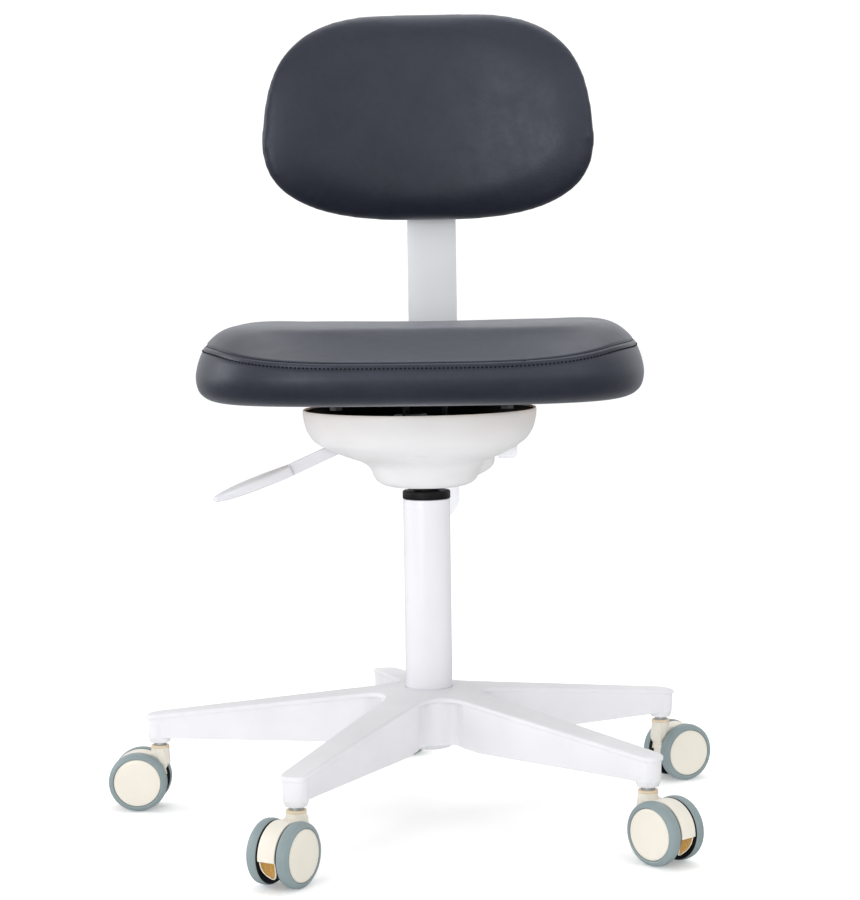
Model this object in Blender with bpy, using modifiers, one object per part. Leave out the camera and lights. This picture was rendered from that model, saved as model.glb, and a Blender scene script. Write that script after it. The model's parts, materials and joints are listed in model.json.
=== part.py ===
"""Dentist stool: five-arm base on twin-wheel casters, gas-spring column, padded seat and backrest.

Metres, +Z up, and the seat faces -Y. The origin lies on the floor under the middle of the stool's
overall box. The column's axis stands at COLUMN_X, COLUMN_Y, and every piece hangs from it.
"""

import math

import bmesh
import bpy
from mathutils import Matrix, Vector

GAP = 0.0003

# Column axis
COLUMN_X = 0.0190
COLUMN_Y = -0.0030

# Base
ARM_COUNT = 5
ARM_STEP = 360 / ARM_COUNT
FIRST_ARM_ANGLE = -185.1
STEM_CIRCLE_RADIUS = 0.2978
ARM_TIP_RADIUS = 0.0138
ARM_HUB_HALF_WIDTH = 0.0235
ARM_FILLET_RADIUS = 0.030
ARM_WALL = 0.0042
HUB_TOP_Z = 0.138
ARM_TIP_TOP_Z = 0.104
ARM_BOTTOM_Z = 0.079
HUB_BOTTOM_Z = 0.083
TIP_BOSS_BOTTOM_Z = 0.073
COLUMN_SOCKET_RADIUS = 0.031

# Casters
WHEEL_RADIUS = 0.0320
WHEEL_SIDES = 20
CASTER_TRAIL = 0.0225
CASTER_TRAIL_ANGLES = (180.0, -118.4, -45.0, 31.5, 31.3)
CASTER_HALF_WIDTH = 0.0244
TYRE_INNER_RADIUS = 0.0259
TYRE_INNER_FACE = 0.0110
WHEEL_INNER_FACE = 0.0105
HOUSING_HALF_WIDTH = 0.0098
HOOD_RADIUS = 0.0310
BARREL_RADIUS = 0.0099
BARREL_TOP_Z = 0.0695
AXLE_RADIUS = 0.004
STEM_RADIUS = 0.005

# Column and gas spring
COLUMN_RADIUS = 0.025
COLUMN_BOTTOM_Z = 0.0725
COLUMN_TOP_Z = 0.3405
COLUMN_INNER_RADIUS = 0.0228
BUSH_TOP_Z = 0.3506
CYLINDER_RADIUS = 0.014
CYLINDER_BOTTOM_Z = 0.092
CYLINDER_TOP_Z = 0.404
ROD_RADIUS = 0.005
VALVE_PIN_RADIUS = 0.003

# Seat mechanism
PLATE_TOP_Z = 0.4495
PLATE_THICKNESS = 0.003
PLATE_HALF = (0.105, 0.100)
CHEEK_INNER = 0.019
CHEEK_THICKNESS = 0.0035
SOCKET_RADIUS = 0.020
SOCKET_BOTTOM_Z = 0.3567
BOLT_X = 0.088
BOLT_Y = 0.080

# Cover
COVER_WALL = 0.0025
COVER_SHIFT = 0.006
COVER_BOWL_Z = 0.372
COVER_DISH_Z = 0.400
COVER_PROFILE = (
    (0.1244, 0.4370),
    (0.1238, 0.4300),
    (0.1210, 0.4170),
    (0.1150, 0.4050),
    (0.1030, 0.3970),
    (0.0860, 0.3885),
    (0.0680, 0.3820),
    (0.0585, 0.3745),
    (0.0545, 0.3640),
    (0.0470, 0.3565),
    (0.0360, 0.3536),
    (0.0146, 0.3536),
)

# Tilt pivot of the backrest arm
PIVOT_Y = 0.038
PIVOT_Z = 0.3885
PIVOT_RADIUS = 0.005
BOSS_END_X = 0.0750
BOSS_RADIUS = 0.0280
TILT_KNOB_X = (0.0770, 0.0970)
TILT_KNOB_RADIUS = 0.0092

# Height lever
LEVER_YAW = 8.0
LEVER_PIVOT_X = -0.0207
LEVER_PIVOT_Z = 0.4243
LEVER_NOSE_X = 0.0225
LEVER_HEIGHT = 0.013
LEVER_THICKNESS = 0.005
LEVER_BEND = (-0.030, 0.4243)
LEVER_NECK_END = (-0.1440, 0.3740)
HANDLE_TIP = (-0.2260, 0.3440)
HANDLE_WIDTH = 0.030

# Seat
SEAT_HALF_WIDTH = 0.2335
SEAT_SHIFT = 0.0026
SEAT_HALF_DEPTH = 0.205
SEAT_BOTTOM_Z = 0.450
SEAT_BULGE_Z = 0.478
SEAT_TOP_Z = 0.533
BOARD_HALF = (0.165, 0.145)
BOARD_THICKNESS = 0.012

# Backrest
BAR_Y = 0.216
BAR_WIDTH = 0.056
BAR_THICKNESS = 0.006
BAR_BOTTOM_Z = 0.292
BAR_TOP_Z = 0.770
SLEEVE_Z = (0.386, 0.432)
SLEEVE_HALF = (0.033, 0.0095)
CLAMP_Z = 0.410
BACK_MIDDLE_Z = 0.730
BACK_HALF_WIDTH = 0.1830
BACK_RISE = 0.137
BACK_DROP = 0.090
BACK_CURVE = 0.042
SHELL_THICKNESS = 0.0045
CUSHION_THICKNESS = 0.044


def clear_scene():
    for thing in list(bpy.data.objects):
        bpy.data.objects.remove(thing, do_unlink=True)


def make_collection(name, hidden=False):
    collection = bpy.data.collections.new(name)
    bpy.context.scene.collection.children.link(collection)
    collection.hide_render = hidden
    return collection


def make_material(name, colour, roughness, metallic=0.0):
    material = bpy.data.materials.new(name)
    material.use_nodes = True
    shader = material.node_tree.nodes["Principled BSDF"]
    shader.inputs["Base Color"].default_value = (*colour, 1.0)
    shader.inputs["Roughness"].default_value = roughness
    shader.inputs["Metallic"].default_value = metallic
    return material


def empty(name, location, turn=0.0, parent=None):
    """A joint or placing axis: an empty at location, turned by turn degrees about Z."""
    holder = bpy.data.objects.new(name, None)
    holder.location = location
    holder.rotation_euler = (0, 0, math.radians(turn))
    holder.parent = parent
    STOOL.objects.link(holder)
    return holder


def add_node(name, mesh, kind, parent, location=(0, 0, 0), rotation=(0, 0, 0)):
    """A named piece of the stool. It has a material of its own, copied from its kind's look."""
    thing = bpy.data.objects.new(name, mesh)
    material = make_material(name, *LOOKS[kind])
    if mesh.materials:
        mesh.materials[0] = material
    else:
        mesh.materials.append(material)
    thing.location = location
    thing.rotation_euler = rotation
    thing.parent = parent
    STOOL.objects.link(thing)
    return thing


def add_cutter(name, mesh, parent, location=(0, 0, 0), rotation=(0, 0, 0)):
    thing = bpy.data.objects.new(name, mesh)
    thing.location = location
    thing.rotation_euler = rotation
    thing.parent = parent
    thing.hide_render = True
    thing.display_type = "WIRE"
    CUTTERS.objects.link(thing)
    return thing


def boolean(thing, other, operation="DIFFERENCE"):
    modifier = thing.modifiers.new(operation.title(), "BOOLEAN")
    modifier.operation = operation
    modifier.solver = "EXACT"
    modifier.object = other


def mesh_of(bm, name):
    mesh = bpy.data.meshes.new(name)
    bm.to_mesh(mesh)
    bm.free()
    return mesh


def box_mesh(low, high):
    bm = bmesh.new()
    size = [b - a for a, b in zip(low, high)]
    middle = [(a + b) / 2 for a, b in zip(low, high)]
    matrix = Matrix.Translation(middle) @ Matrix.Diagonal((*size, 1))
    bmesh.ops.create_cube(bm, size=1, matrix=matrix)
    return mesh_of(bm, "box")


def rod_mesh(radius, low, high, sides=24, end_radius=None, axis="Z"):
    """A cylinder or cone along an axis, from low to high."""
    bm = bmesh.new()
    turn = {"X": Matrix.Rotation(math.pi / 2, 4, "Y"), "Y": Matrix.Rotation(-math.pi / 2, 4, "X")}
    bmesh.ops.create_cone(
        bm,
        cap_ends=True,
        segments=sides,
        radius1=radius,
        radius2=radius if end_radius is None else end_radius,
        depth=high - low,
        matrix=turn.get(axis, Matrix()) @ Matrix.Translation((0, 0, (low + high) / 2)),
    )
    return mesh_of(bm, "rod")


def turned_mesh(profile, sides, closed=False):
    """A profile of (radius, height) points, turned about Z by a Screw modifier and made a mesh."""
    outline = bpy.data.meshes.new("profile")
    count = len(profile)
    edges = [(i, i + 1) for i in range(count - 1)]
    if closed:
        edges.append((count - 1, 0))
    outline.from_pydata([(radius, 0, height) for radius, height in profile], edges, [])
    turned = bpy.data.objects.new("turned", outline)
    STOOL.objects.link(turned)
    screw = turned.modifiers.new("Screw", "SCREW")
    screw.steps = sides
    screw.render_steps = sides
    screw.use_merge_vertices = True
    screw.merge_threshold = 0.00001
    return evaluated_mesh(turned)


def evaluated_mesh(thing):
    """The mesh that an object's modifiers or curve make. The object itself is removed."""
    bpy.context.view_layer.update()
    graph = bpy.context.evaluated_depsgraph_get()
    mesh = bpy.data.meshes.new_from_object(thing.evaluated_get(graph))
    bpy.data.objects.remove(thing, do_unlink=True)
    bm = bmesh.new()
    bm.from_mesh(mesh)
    bmesh.ops.remove_doubles(bm, verts=bm.verts, dist=0.000005)
    bmesh.ops.recalc_face_normals(bm, faces=bm.faces)
    bm.to_mesh(mesh)
    bm.free()
    return mesh


def plate_mesh(outline, low, high):
    """A flat outline of (x, y) points, filled and extruded from height low to height high."""
    curve = bpy.data.curves.new("outline", "CURVE")
    curve.dimensions = "2D"
    curve.fill_mode = "BOTH"
    curve.extrude = (high - low) / 2
    spline = curve.splines.new("POLY")
    spline.points.add(len(outline) - 1)
    for point, (x, y) in zip(spline.points, outline):
        point.co = (x, y, 0, 1)
    spline.use_cyclic_u = True
    flat = bpy.data.objects.new("outline", curve)
    STOOL.objects.link(flat)
    mesh = evaluated_mesh(flat)
    mesh.transform(Matrix.Translation((0, 0, (low + high) / 2)))
    return mesh


def arc(centre, radius, start, end, steps):
    """Points on an arc between two angles in degrees, both ends included."""
    angles = [math.radians(start + (end - start) * i / steps) for i in range(steps + 1)]
    return [(centre[0] + radius * math.cos(a), centre[1] + radius * math.sin(a)) for a in angles]


def rounded_rectangle(half_x, half_y, radius, steps=4):
    points = []
    for turn, sx, sy in ((0, 1, 1), (90, -1, 1), (180, -1, -1), (270, 1, -1)):
        corner = (sx * (half_x - radius), sy * (half_y - radius))
        points += arc(corner, radius, turn, turn + 90, steps)
    return points


# Base


def star_outline(inset):
    """The plan of the five arms, with concave fillets between them, drawn in by inset."""
    tip = ARM_TIP_RADIUS - inset
    taper = (ARM_HUB_HALF_WIDTH - ARM_TIP_RADIUS) / STEM_CIRCLE_RADIUS
    stretch = math.hypot(1, taper)
    hub_half = ARM_HUB_HALF_WIDTH - inset * stretch
    fillet = ARM_FILLET_RADIUS + inset
    half_step = math.radians(ARM_STEP / 2)
    away = (fillet * stretch + hub_half) / (math.sin(half_step) + taper * math.cos(half_step))
    centre = (away * math.cos(half_step), away * math.sin(half_step))
    lean = math.degrees(math.atan(taper))
    arm = arc((STEM_CIRCLE_RADIUS, 0), tip, -90 + lean, 90 - lean, 8)
    arm += arc(centre, fillet, -90 - lean, ARM_STEP - 270 + lean, 6)
    points = []
    for number in range(ARM_COUNT):
        turn = Matrix.Rotation(math.radians(ARM_STEP * number), 2)
        points += [tuple(turn @ Vector(point)) for point in arm]
    return points


def star_solid(inset, profile, name):
    """The star's plan, cut to a turned profile so that the arms slope down to their tips."""
    sides = ARM_COUNT * 4
    star = add_cutter(name + "_plan", plate_mesh(star_outline(inset), 0.03, 0.17), BASE)
    cone = add_cutter(name + "_cone", turned_mesh(profile, sides, closed=profile[0][0] > 0), BASE)
    cone.rotation_euler = (0, 0, math.radians(180 / sides))
    boolean(star, cone, "INTERSECT")
    return star


def make_base():
    rim = STEM_CIRCLE_RADIUS + 2 * ARM_TIP_RADIUS
    top = ((0, HUB_TOP_Z), (0.032, HUB_TOP_Z), (rim, ARM_TIP_TOP_Z - 0.002))
    bottom = ((rim, ARM_BOTTOM_Z), (0.090, ARM_BOTTOM_Z), (0.055, HUB_BOTTOM_Z), (0, HUB_BOTTOM_Z))
    star = star_solid(0, top + bottom, "star")
    hollow_top = HUB_TOP_Z - ARM_WALL - 0.001
    hollow_end = STEM_CIRCLE_RADIUS - ARM_TIP_RADIUS
    hollow_profile = (
        (COLUMN_SOCKET_RADIUS, hollow_top),
        (hollow_end, ARM_TIP_TOP_Z - ARM_WALL + 0.001),
        (hollow_end, 0.05),
        (COLUMN_SOCKET_RADIUS, 0.05),
    )
    hollow = star_solid(ARM_WALL, hollow_profile, "hollow")
    base = add_node("base_star", evaluated_mesh(star), "white_casting", BASE)
    boolean(base, hollow)
    for number in range(ARM_COUNT):
        turn = Matrix.Rotation(math.radians(ARM_STEP * number), 3, "Z")
        place = turn @ Vector((STEM_CIRCLE_RADIUS, 0, 0))
        boss = rod_mesh(0.0108, TIP_BOSS_BOTTOM_Z, ARM_BOTTOM_Z + 0.004, 20, 0.0128)
        hole = rod_mesh(STEM_RADIUS + GAP, 0.06, 0.1002, 12)
        boolean(base, add_cutter(f"boss_{number + 1}", boss, BASE, place), "UNION")
        boolean(base, add_cutter(f"stem_hole_{number + 1}", hole, BASE, place))
    column_hole = rod_mesh(COLUMN_RADIUS + GAP, 0.05, 0.16, 24)
    boolean(base, add_cutter("column_hole", column_hole, BASE))


# Casters


def housing_outline():
    """The side view of the caster's body: hood over the wheels, barrel side and axle boss."""
    axle = (CASTER_TRAIL, WHEEL_RADIUS)
    points = arc(axle, HOOD_RADIUS, -12, 104, 10)
    points += [(0.0095, 0.0650), (-0.0060, 0.0650), (-0.0060, 0.0400)]
    points += arc(axle, 0.0095, 205, 320, 5)
    return points


def make_housing(prefix, axis):
    plate = plate_mesh(housing_outline(), -HOUSING_HALF_WIDTH, HOUSING_HALF_WIDTH)
    plate.transform(Matrix.Rotation(math.pi / 2, 4, "X"))
    housing = add_node(prefix + "housing", plate, "ivory_plastic", axis)
    barrel = rod_mesh(BARREL_RADIUS, 0.0385, BARREL_TOP_Z, 16)
    boolean(housing, add_cutter(prefix + "barrel", barrel, axis), "UNION")
    stem_bore = rod_mesh(0.0043, 0.0495, 0.08, 12)
    boolean(housing, add_cutter(prefix + "stem_bore", stem_bore, axis))
    bore = rod_mesh(AXLE_RADIUS + GAP, -0.02, 0.02, 12, axis="Y")
    place = (CASTER_TRAIL, 0, WHEEL_RADIUS)
    boolean(housing, add_cutter(prefix + "axle_bore", bore, axis, place))


def make_wheel(prefix, side, sign, axis):
    """One wheel and its tyre, turned about the axle. A flat of the tyre lies on the floor."""
    stretch = 1 / math.cos(math.pi / WHEEL_SIDES)
    place = (CASTER_TRAIL, 0, WHEEL_RADIUS)
    rotation = (-sign * math.pi / 2, math.pi / WHEEL_SIDES, 0)
    rim = TYRE_INNER_RADIUS - GAP
    bore = AXLE_RADIUS + GAP
    bore_end = CASTER_HALF_WIDTH - 0.0028
    wheel_profile = (
        (0, CASTER_HALF_WIDTH),
        (rim * stretch, CASTER_HALF_WIDTH),
        (rim * stretch, WHEEL_INNER_FACE),
        (bore * stretch, WHEEL_INNER_FACE),
        (bore * stretch, bore_end),
        (0, bore_end),
    )
    tyre_profile = (
        (TYRE_INNER_RADIUS * stretch, CASTER_HALF_WIDTH),
        ((WHEEL_RADIUS - 0.0028) * stretch, CASTER_HALF_WIDTH),
        (WHEEL_RADIUS * stretch, CASTER_HALF_WIDTH - 0.0031),
        (WHEEL_RADIUS * stretch, TYRE_INNER_FACE),
        (TYRE_INNER_RADIUS * stretch, TYRE_INNER_FACE),
    )
    wheel = turned_mesh(wheel_profile, WHEEL_SIDES)
    tyre = turned_mesh(tyre_profile, WHEEL_SIDES, closed=True)
    add_node(f"{prefix}wheel_{side}", wheel, "ivory_plastic", axis, place, rotation)
    add_node(f"{prefix}tyre_{side}", tyre, "grey_tyre", axis, place, rotation)


def make_caster(number):
    prefix = f"caster_{number}_"
    arm_angle = math.radians(FIRST_ARM_ANGLE + ARM_STEP * (number - 1))
    place = Vector((math.cos(arm_angle), math.sin(arm_angle), 0)) * STEM_CIRCLE_RADIUS
    axis = empty(prefix + "swivel_axis", place, CASTER_TRAIL_ANGLES[number - 1], COLUMN)
    collar_top = TIP_BOSS_BOTTOM_Z - GAP
    collar_bottom = BARREL_TOP_Z + GAP
    stem_profile = (
        (0, 0.0995),
        (STEM_RADIUS, 0.0995),
        (STEM_RADIUS, collar_top),
        (0.0058, collar_top),
        (0.0058, collar_bottom),
        (0.0040, collar_bottom),
        (0.0040, 0.0500),
        (0, 0.0500),
    )
    add_node(prefix + "stem", turned_mesh(stem_profile, 12), "zinc_steel", axis)
    make_housing(prefix, axis)
    axle = rod_mesh(AXLE_RADIUS, -0.0212, 0.0212, 12, axis="Y")
    add_node(prefix + "axle", axle, "zinc_steel", axis, (CASTER_TRAIL, 0, WHEEL_RADIUS))
    make_wheel(prefix, "l", 1, axis)
    make_wheel(prefix, "r", -1, axis)


# Column


def make_column():
    floor_z = COLUMN_BOTTOM_Z + 0.007
    tube = (
        (COLUMN_INNER_RADIUS, COLUMN_TOP_Z),
        (COLUMN_RADIUS, COLUMN_TOP_Z),
        (COLUMN_RADIUS, COLUMN_BOTTOM_Z + 0.0035),
        (COLUMN_RADIUS - 0.0030, COLUMN_BOTTOM_Z),
        (0.0130, COLUMN_BOTTOM_Z),
        (0.0130, COLUMN_BOTTOM_Z + 0.0040),
        (ROD_RADIUS + 0.0004, COLUMN_BOTTOM_Z + 0.0040),
        (ROD_RADIUS + 0.0004, floor_z),
        (COLUMN_INNER_RADIUS, floor_z),
    )
    add_node("column_tube", turned_mesh(tube, 24, closed=True), "white_casting", COLUMN)
    inner = CYLINDER_RADIUS + 0.0004
    bush = (
        (inner, BUSH_TOP_Z),
        (COLUMN_RADIUS - 0.0015, BUSH_TOP_Z),
        (COLUMN_RADIUS + 0.0005, BUSH_TOP_Z - 0.0018),
        (COLUMN_RADIUS + 0.0005, COLUMN_TOP_Z + GAP),
        (COLUMN_INNER_RADIUS - GAP, COLUMN_TOP_Z + GAP),
        (COLUMN_INNER_RADIUS - GAP, 0.2800),
        (inner, 0.2800),
    )
    add_node("column_bush", turned_mesh(bush, 24, closed=True), "black_plastic", COLUMN)
    bearing_bottom = floor_z + GAP
    bearing_top = bearing_bottom + 0.0040
    bearing = (
        (0.0054, bearing_top),
        (0.0125, bearing_top),
        (0.0125, bearing_bottom),
        (0.0054, bearing_bottom),
    )
    add_node("thrust_bearing", turned_mesh(bearing, 24, closed=True), "zinc_steel", COLUMN)
    make_gas_spring(bearing_top)


def make_gas_spring(bearing_top):
    """Piston rod held at the column's foot, and the cylinder that rises on it through the bush."""
    piston_bottom = 0.240
    shoulder = bearing_top + GAP
    rod = (
        (0, piston_bottom + 0.015),
        (0.0107, piston_bottom + 0.015),
        (0.0107, piston_bottom),
        (ROD_RADIUS, piston_bottom),
        (ROD_RADIUS, shoulder + 0.003),
        (0.0095, shoulder + 0.003),
        (0.0095, shoulder),
        (ROD_RADIUS, shoulder),
        (ROD_RADIUS, COLUMN_BOTTOM_Z + 0.0008),
        (0, COLUMN_BOTTOM_Z + 0.0008),
    )
    add_node("piston_rod", turned_mesh(rod, 24), "polished_steel", COLUMN)
    clip_top = COLUMN_BOTTOM_Z + 0.0040 - GAP
    clip = (
        (ROD_RADIUS + GAP, clip_top),
        (0.0095, clip_top),
        (0.0095, clip_top - 0.0014),
        (ROD_RADIUS + GAP, clip_top - 0.0014),
    )
    add_node("rod_clip", turned_mesh(clip, 24, closed=True), "zinc_steel", COLUMN)
    bore_top = CYLINDER_TOP_Z - 0.019
    cylinder = (
        (VALVE_PIN_RADIUS + GAP, CYLINDER_TOP_Z),
        (0.0132, CYLINDER_TOP_Z),
        (CYLINDER_RADIUS, BUSH_TOP_Z + 0.004),
        (CYLINDER_RADIUS, CYLINDER_BOTTOM_Z),
        (ROD_RADIUS + GAP, CYLINDER_BOTTOM_Z),
        (ROD_RADIUS + GAP, CYLINDER_BOTTOM_Z + 0.008),
        (0.0110, CYLINDER_BOTTOM_Z + 0.008),
        (0.0110, bore_top),
        (VALVE_PIN_RADIUS + GAP, bore_top),
    )
    add_node("gas_cylinder", turned_mesh(cylinder, 24, closed=True), "black_steel", COLUMN)
    pin_top = LEVER_PIVOT_Z - LEVER_HEIGHT / 2 - GAP
    pin = (
        (0, pin_top),
        (0.0045, pin_top),
        (0.0045, pin_top - 0.003),
        (VALVE_PIN_RADIUS, pin_top - 0.003),
        (VALVE_PIN_RADIUS, bore_top - 0.005),
        (0, bore_top - 0.005),
    )
    add_node("valve_pin", turned_mesh(pin, 16), "zinc_steel", COLUMN)


# Seat mechanism


def make_mechanism():
    plate_bottom = PLATE_TOP_Z - PLATE_THICKNESS
    outline = rounded_rectangle(*PLATE_HALF, 0.020)
    plate = plate_mesh(outline, plate_bottom, PLATE_TOP_Z)
    body = add_node("mechanism_body", plate, "black_steel", COLUMN)
    for side, sign in (("left", -1), ("right", 1)):
        near = sign * CHEEK_INNER
        far = sign * (CHEEK_INNER + CHEEK_THICKNESS)
        low = (min(near, far), -0.032, 0.3730)
        high = (max(near, far), 0.047, plate_bottom + 0.001)
        boolean(body, add_cutter(f"cheek_{side}", box_mesh(low, high), COLUMN), "UNION")
    taper_gap = CYLINDER_RADIUS + GAP
    socket = (
        (taper_gap - 0.0006, 0.3990),
        (SOCKET_RADIUS, 0.3990),
        (SOCKET_RADIUS, SOCKET_BOTTOM_Z),
        (taper_gap, SOCKET_BOTTOM_Z),
    )
    socket_tube = add_cutter("taper_socket", turned_mesh(socket, 24, closed=True), COLUMN)
    boolean(body, socket_tube, "UNION")
    hole = rod_mesh(PIVOT_RADIUS + GAP, -0.05, 0.05, 16, axis="X")
    boolean(body, add_cutter("pivot_hole", hole, COLUMN, (0, PIVOT_Y, PIVOT_Z)))
    reach = LEVER_HEIGHT / 2 + 0.0015
    slot = box_mesh((-0.020, -0.0055, -reach), (0.014, 0.0055, reach))
    boolean(body, add_cutter("lever_slot", slot, LEVER))
    for number, (x, y) in enumerate(bolt_places()):
        hole = rod_mesh(0.0043, 0.43, 0.47, 12)
        boolean(body, add_cutter(f"bolt_hole_{number + 1}", hole, COLUMN, (x, y, 0)))
        head = rod_mesh(0.0072, plate_bottom - GAP - 0.0053, plate_bottom - GAP, 6)
        bolt = add_node(f"seat_bolt_{number + 1}", head, "zinc_steel", COLUMN, (x, y, 0))
        shank = rod_mesh(0.0040, plate_bottom - 0.002, PLATE_TOP_Z + 0.0100, 12)
        boolean(bolt, add_cutter(f"shank_{number + 1}", shank, COLUMN, (x, y, 0)), "UNION")


def bolt_places():
    return [(x, y) for x in (-BOLT_X, BOLT_X) for y in (-BOLT_Y, BOLT_Y)]


def boss_profile(wall):
    """The domed boss on the cover's side, about the tilt pin, drawn in by wall."""
    full = BOSS_RADIUS - wall
    shape = ((0, 0), (0.42 * full, 0.0008), (0.70 * full, 0.0050), (0.90 * full, 0.0120), (full, 0.0220))
    points = [(radius, BOSS_END_X - wall - back) for radius, back in shape]
    return (*points, (full, 0.030), (0, 0.030))


def make_cover():
    shell = bpy.data.meshes.new("cover")
    edges = [(i, i + 1) for i in range(len(COVER_PROFILE) - 1)]
    shell.from_pydata([(radius, 0, z) for radius, z in COVER_PROFILE], edges, [])
    turned = bpy.data.objects.new("cover", shell)
    STOOL.objects.link(turned)
    screw = turned.modifiers.new("Screw", "SCREW")
    screw.steps = 32
    screw.render_steps = 32
    screw.use_merge_vertices = True
    screw.merge_threshold = 0.00001
    wall = turned.modifiers.new("Solidify", "SOLIDIFY")
    wall.thickness = COVER_WALL
    wall.offset = -1
    mesh = evaluated_mesh(turned)
    for vert in mesh.vertices:
        rise = min(max((vert.co.z - COVER_BOWL_Z) / (COVER_DISH_Z - COVER_BOWL_Z), 0), 1)
        vert.co.x -= COVER_SHIFT * rise
    cover = add_node("mechanism_cover", mesh, "white_plastic", COLUMN)
    place = (0, PIVOT_Y, PIVOT_Z)
    turn = (0, math.pi / 2, 0)
    boss = add_cutter("cover_boss", turned_mesh(boss_profile(0), 20), COLUMN, place, turn)
    hollow_mesh = turned_mesh(boss_profile(COVER_WALL), 20)
    hollow = add_cutter("cover_boss_hollow", hollow_mesh, COLUMN, place, turn)
    boolean(cover, boss, "UNION")
    boolean(cover, hollow)
    pin_hole = rod_mesh(PIVOT_RADIUS + 0.0008, 0.05, 0.09, 16, axis="X")
    boolean(cover, add_cutter("cover_pin_hole", pin_hole, COLUMN, place))
    knob_hole = rod_mesh(TILT_KNOB_RADIUS + 0.0015, BOSS_END_X + 0.0010, 0.14, 24, axis="X")
    boolean(cover, add_cutter("cover_knob_hole", knob_hole, COLUMN, place))
    slot = box_mesh((-0.100, -0.0060, -0.046), (-0.045, 0.0060, -0.006))
    boolean(cover, add_cutter("cover_lever_slot", slot, LEVER))
    arm_slot = box_mesh((-0.0215, 0.0560, 0.3600), (0.0215, 0.1120, 0.4020))
    boolean(cover, add_cutter("cover_arm_slot", arm_slot, COLUMN))


def make_lever():
    """A flat bar in a vertical plane, from over the valve pin out to its handle."""
    half = LEVER_HEIGHT / 2
    bend_x = LEVER_BEND[0] - LEVER_PIVOT_X
    end_x = LEVER_NECK_END[0] - LEVER_PIVOT_X
    end_z = LEVER_NECK_END[1] - LEVER_PIVOT_Z
    run = LEVER_NECK_END[0] - HANDLE_TIP[0]
    fall = LEVER_NECK_END[1] - HANDLE_TIP[1]
    lean = math.atan2(fall, run)
    side_x = -half * math.sin(lean)
    side_z = half * math.cos(lean)
    outline = (
        (LEVER_NOSE_X, -half),
        (LEVER_NOSE_X, half),
        (bend_x, half),
        (end_x + side_x, end_z + side_z),
        (end_x - side_x, end_z - side_z),
        (bend_x, -half),
    )
    bar = plate_mesh(outline, -LEVER_THICKNESS / 2, LEVER_THICKNESS / 2)
    bar.transform(Matrix.Rotation(math.pi / 2, 4, "X"))
    lever = add_node("height_lever", bar, "white_paint", LEVER)
    tang = box_mesh((-0.022, -0.0015, -0.0030), (0.004, 0.0015, 0.0030))
    place = (end_x, 0, end_z)
    turn = (0, -lean, 0)
    boolean(lever, add_cutter("lever_tang", tang, LEVER, place, turn), "UNION")
    make_lever_handle(math.hypot(run, fall), place, turn)


def make_lever_handle(length, place, turn):
    """A leaf-shaped paddle, thick at the neck and thin at its rounded tip."""
    bm = bmesh.new()
    bmesh.ops.create_cube(bm, size=2)
    bmesh.ops.subdivide_edges(bm, edges=bm.edges, cuts=5, use_grid_fill=True)
    for vert in bm.verts:
        along = (1 - vert.co.x) / 2
        across = math.sin(math.pi * (0.13 + 0.80 * along)) ** 0.7
        thick = 0.0062 * (1 - along) ** 0.5 + 0.0012
        round_y = math.sqrt(1 - 0.45 * vert.co.z**2)
        round_z = math.sqrt(1 - 0.45 * vert.co.y**2)
        vert.co.x = -along * length - GAP
        vert.co.y *= HANDLE_WIDTH / 2 * across * round_y
        vert.co.z *= thick * round_z
    handle = add_node("lever_handle", mesh_of(bm, "handle"), "white_paint", LEVER, place, turn)
    low = (-0.022 - GAP, -0.0015 - GAP, -0.0030 - GAP)
    high = (0.010, 0.0015 + GAP, 0.0030 + GAP)
    boolean(handle, add_cutter("handle_pocket", box_mesh(low, high), LEVER, place, turn))


# Seat


def padded_mesh(shape, cuts):
    """A cube's surface, subdivided and moved by shape(u, v, w), each from -1 to 1."""
    bm = bmesh.new()
    bmesh.ops.create_cube(bm, size=2)
    bmesh.ops.subdivide_edges(bm, edges=bm.edges, cuts=cuts, use_grid_fill=True)
    for vert in bm.verts:
        vert.co = shape(*(1.5 * c - 0.5 * c**3 for c in vert.co))
    return mesh_of(bm, "padded")


def rounded(first, second, power):
    """How far to draw a point of the square in, so that the square becomes a superellipse."""
    longest = max(abs(first), abs(second))
    if longest == 0:
        return 1
    return longest / (abs(first) ** power + abs(second) ** power) ** (1 / power)


def seat_shape(u, v, w):
    plan = rounded(u, v, 3.4)
    edge = max(abs(u), abs(v))
    fold = rounded(edge, w, 5.2 if w > 0 else 5.0)
    x = SEAT_HALF_WIDTH * u * plan * fold - SEAT_SHIFT
    y = SEAT_HALF_DEPTH * v * plan * fold
    rise = SEAT_TOP_Z - SEAT_BULGE_Z if w > 0 else SEAT_BULGE_Z - SEAT_BOTTOM_Z
    z = SEAT_BULGE_Z + rise * w * fold
    if w > 0:
        front = max(-v - 0.25, 0) / 0.75
        dip = 0.006 * (1 - u * u) * (1 - v * v) + 0.011 * front * front
        z -= dip * w
    return Vector((x, y, z))


def make_seat():
    board_bottom = PLATE_TOP_Z + GAP
    outline = rounded_rectangle(*BOARD_HALF, 0.070, 5)
    board_mesh = plate_mesh(outline, board_bottom, board_bottom + BOARD_THICKNESS)
    board = add_node("seat_board", board_mesh, "plywood", COLUMN)
    for number, (x, y) in enumerate(bolt_places()):
        hole = rod_mesh(0.0043, 0.44, board_bottom + 0.0102, 12)
        boolean(board, add_cutter(f"board_hole_{number + 1}", hole, COLUMN, (x, y, 0)))
    cushion = add_node("seat_cushion", padded_mesh(seat_shape, 8), "grey_vinyl", COLUMN)
    recess_half = (BOARD_HALF[0] + GAP, BOARD_HALF[1] + GAP)
    recess_outline = rounded_rectangle(*recess_half, 0.070 + GAP, 5)
    recess = plate_mesh(recess_outline, 0.43, board_bottom + BOARD_THICKNESS + GAP)
    boolean(cushion, add_cutter("board_recess", recess, COLUMN))


# Backrest


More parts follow.
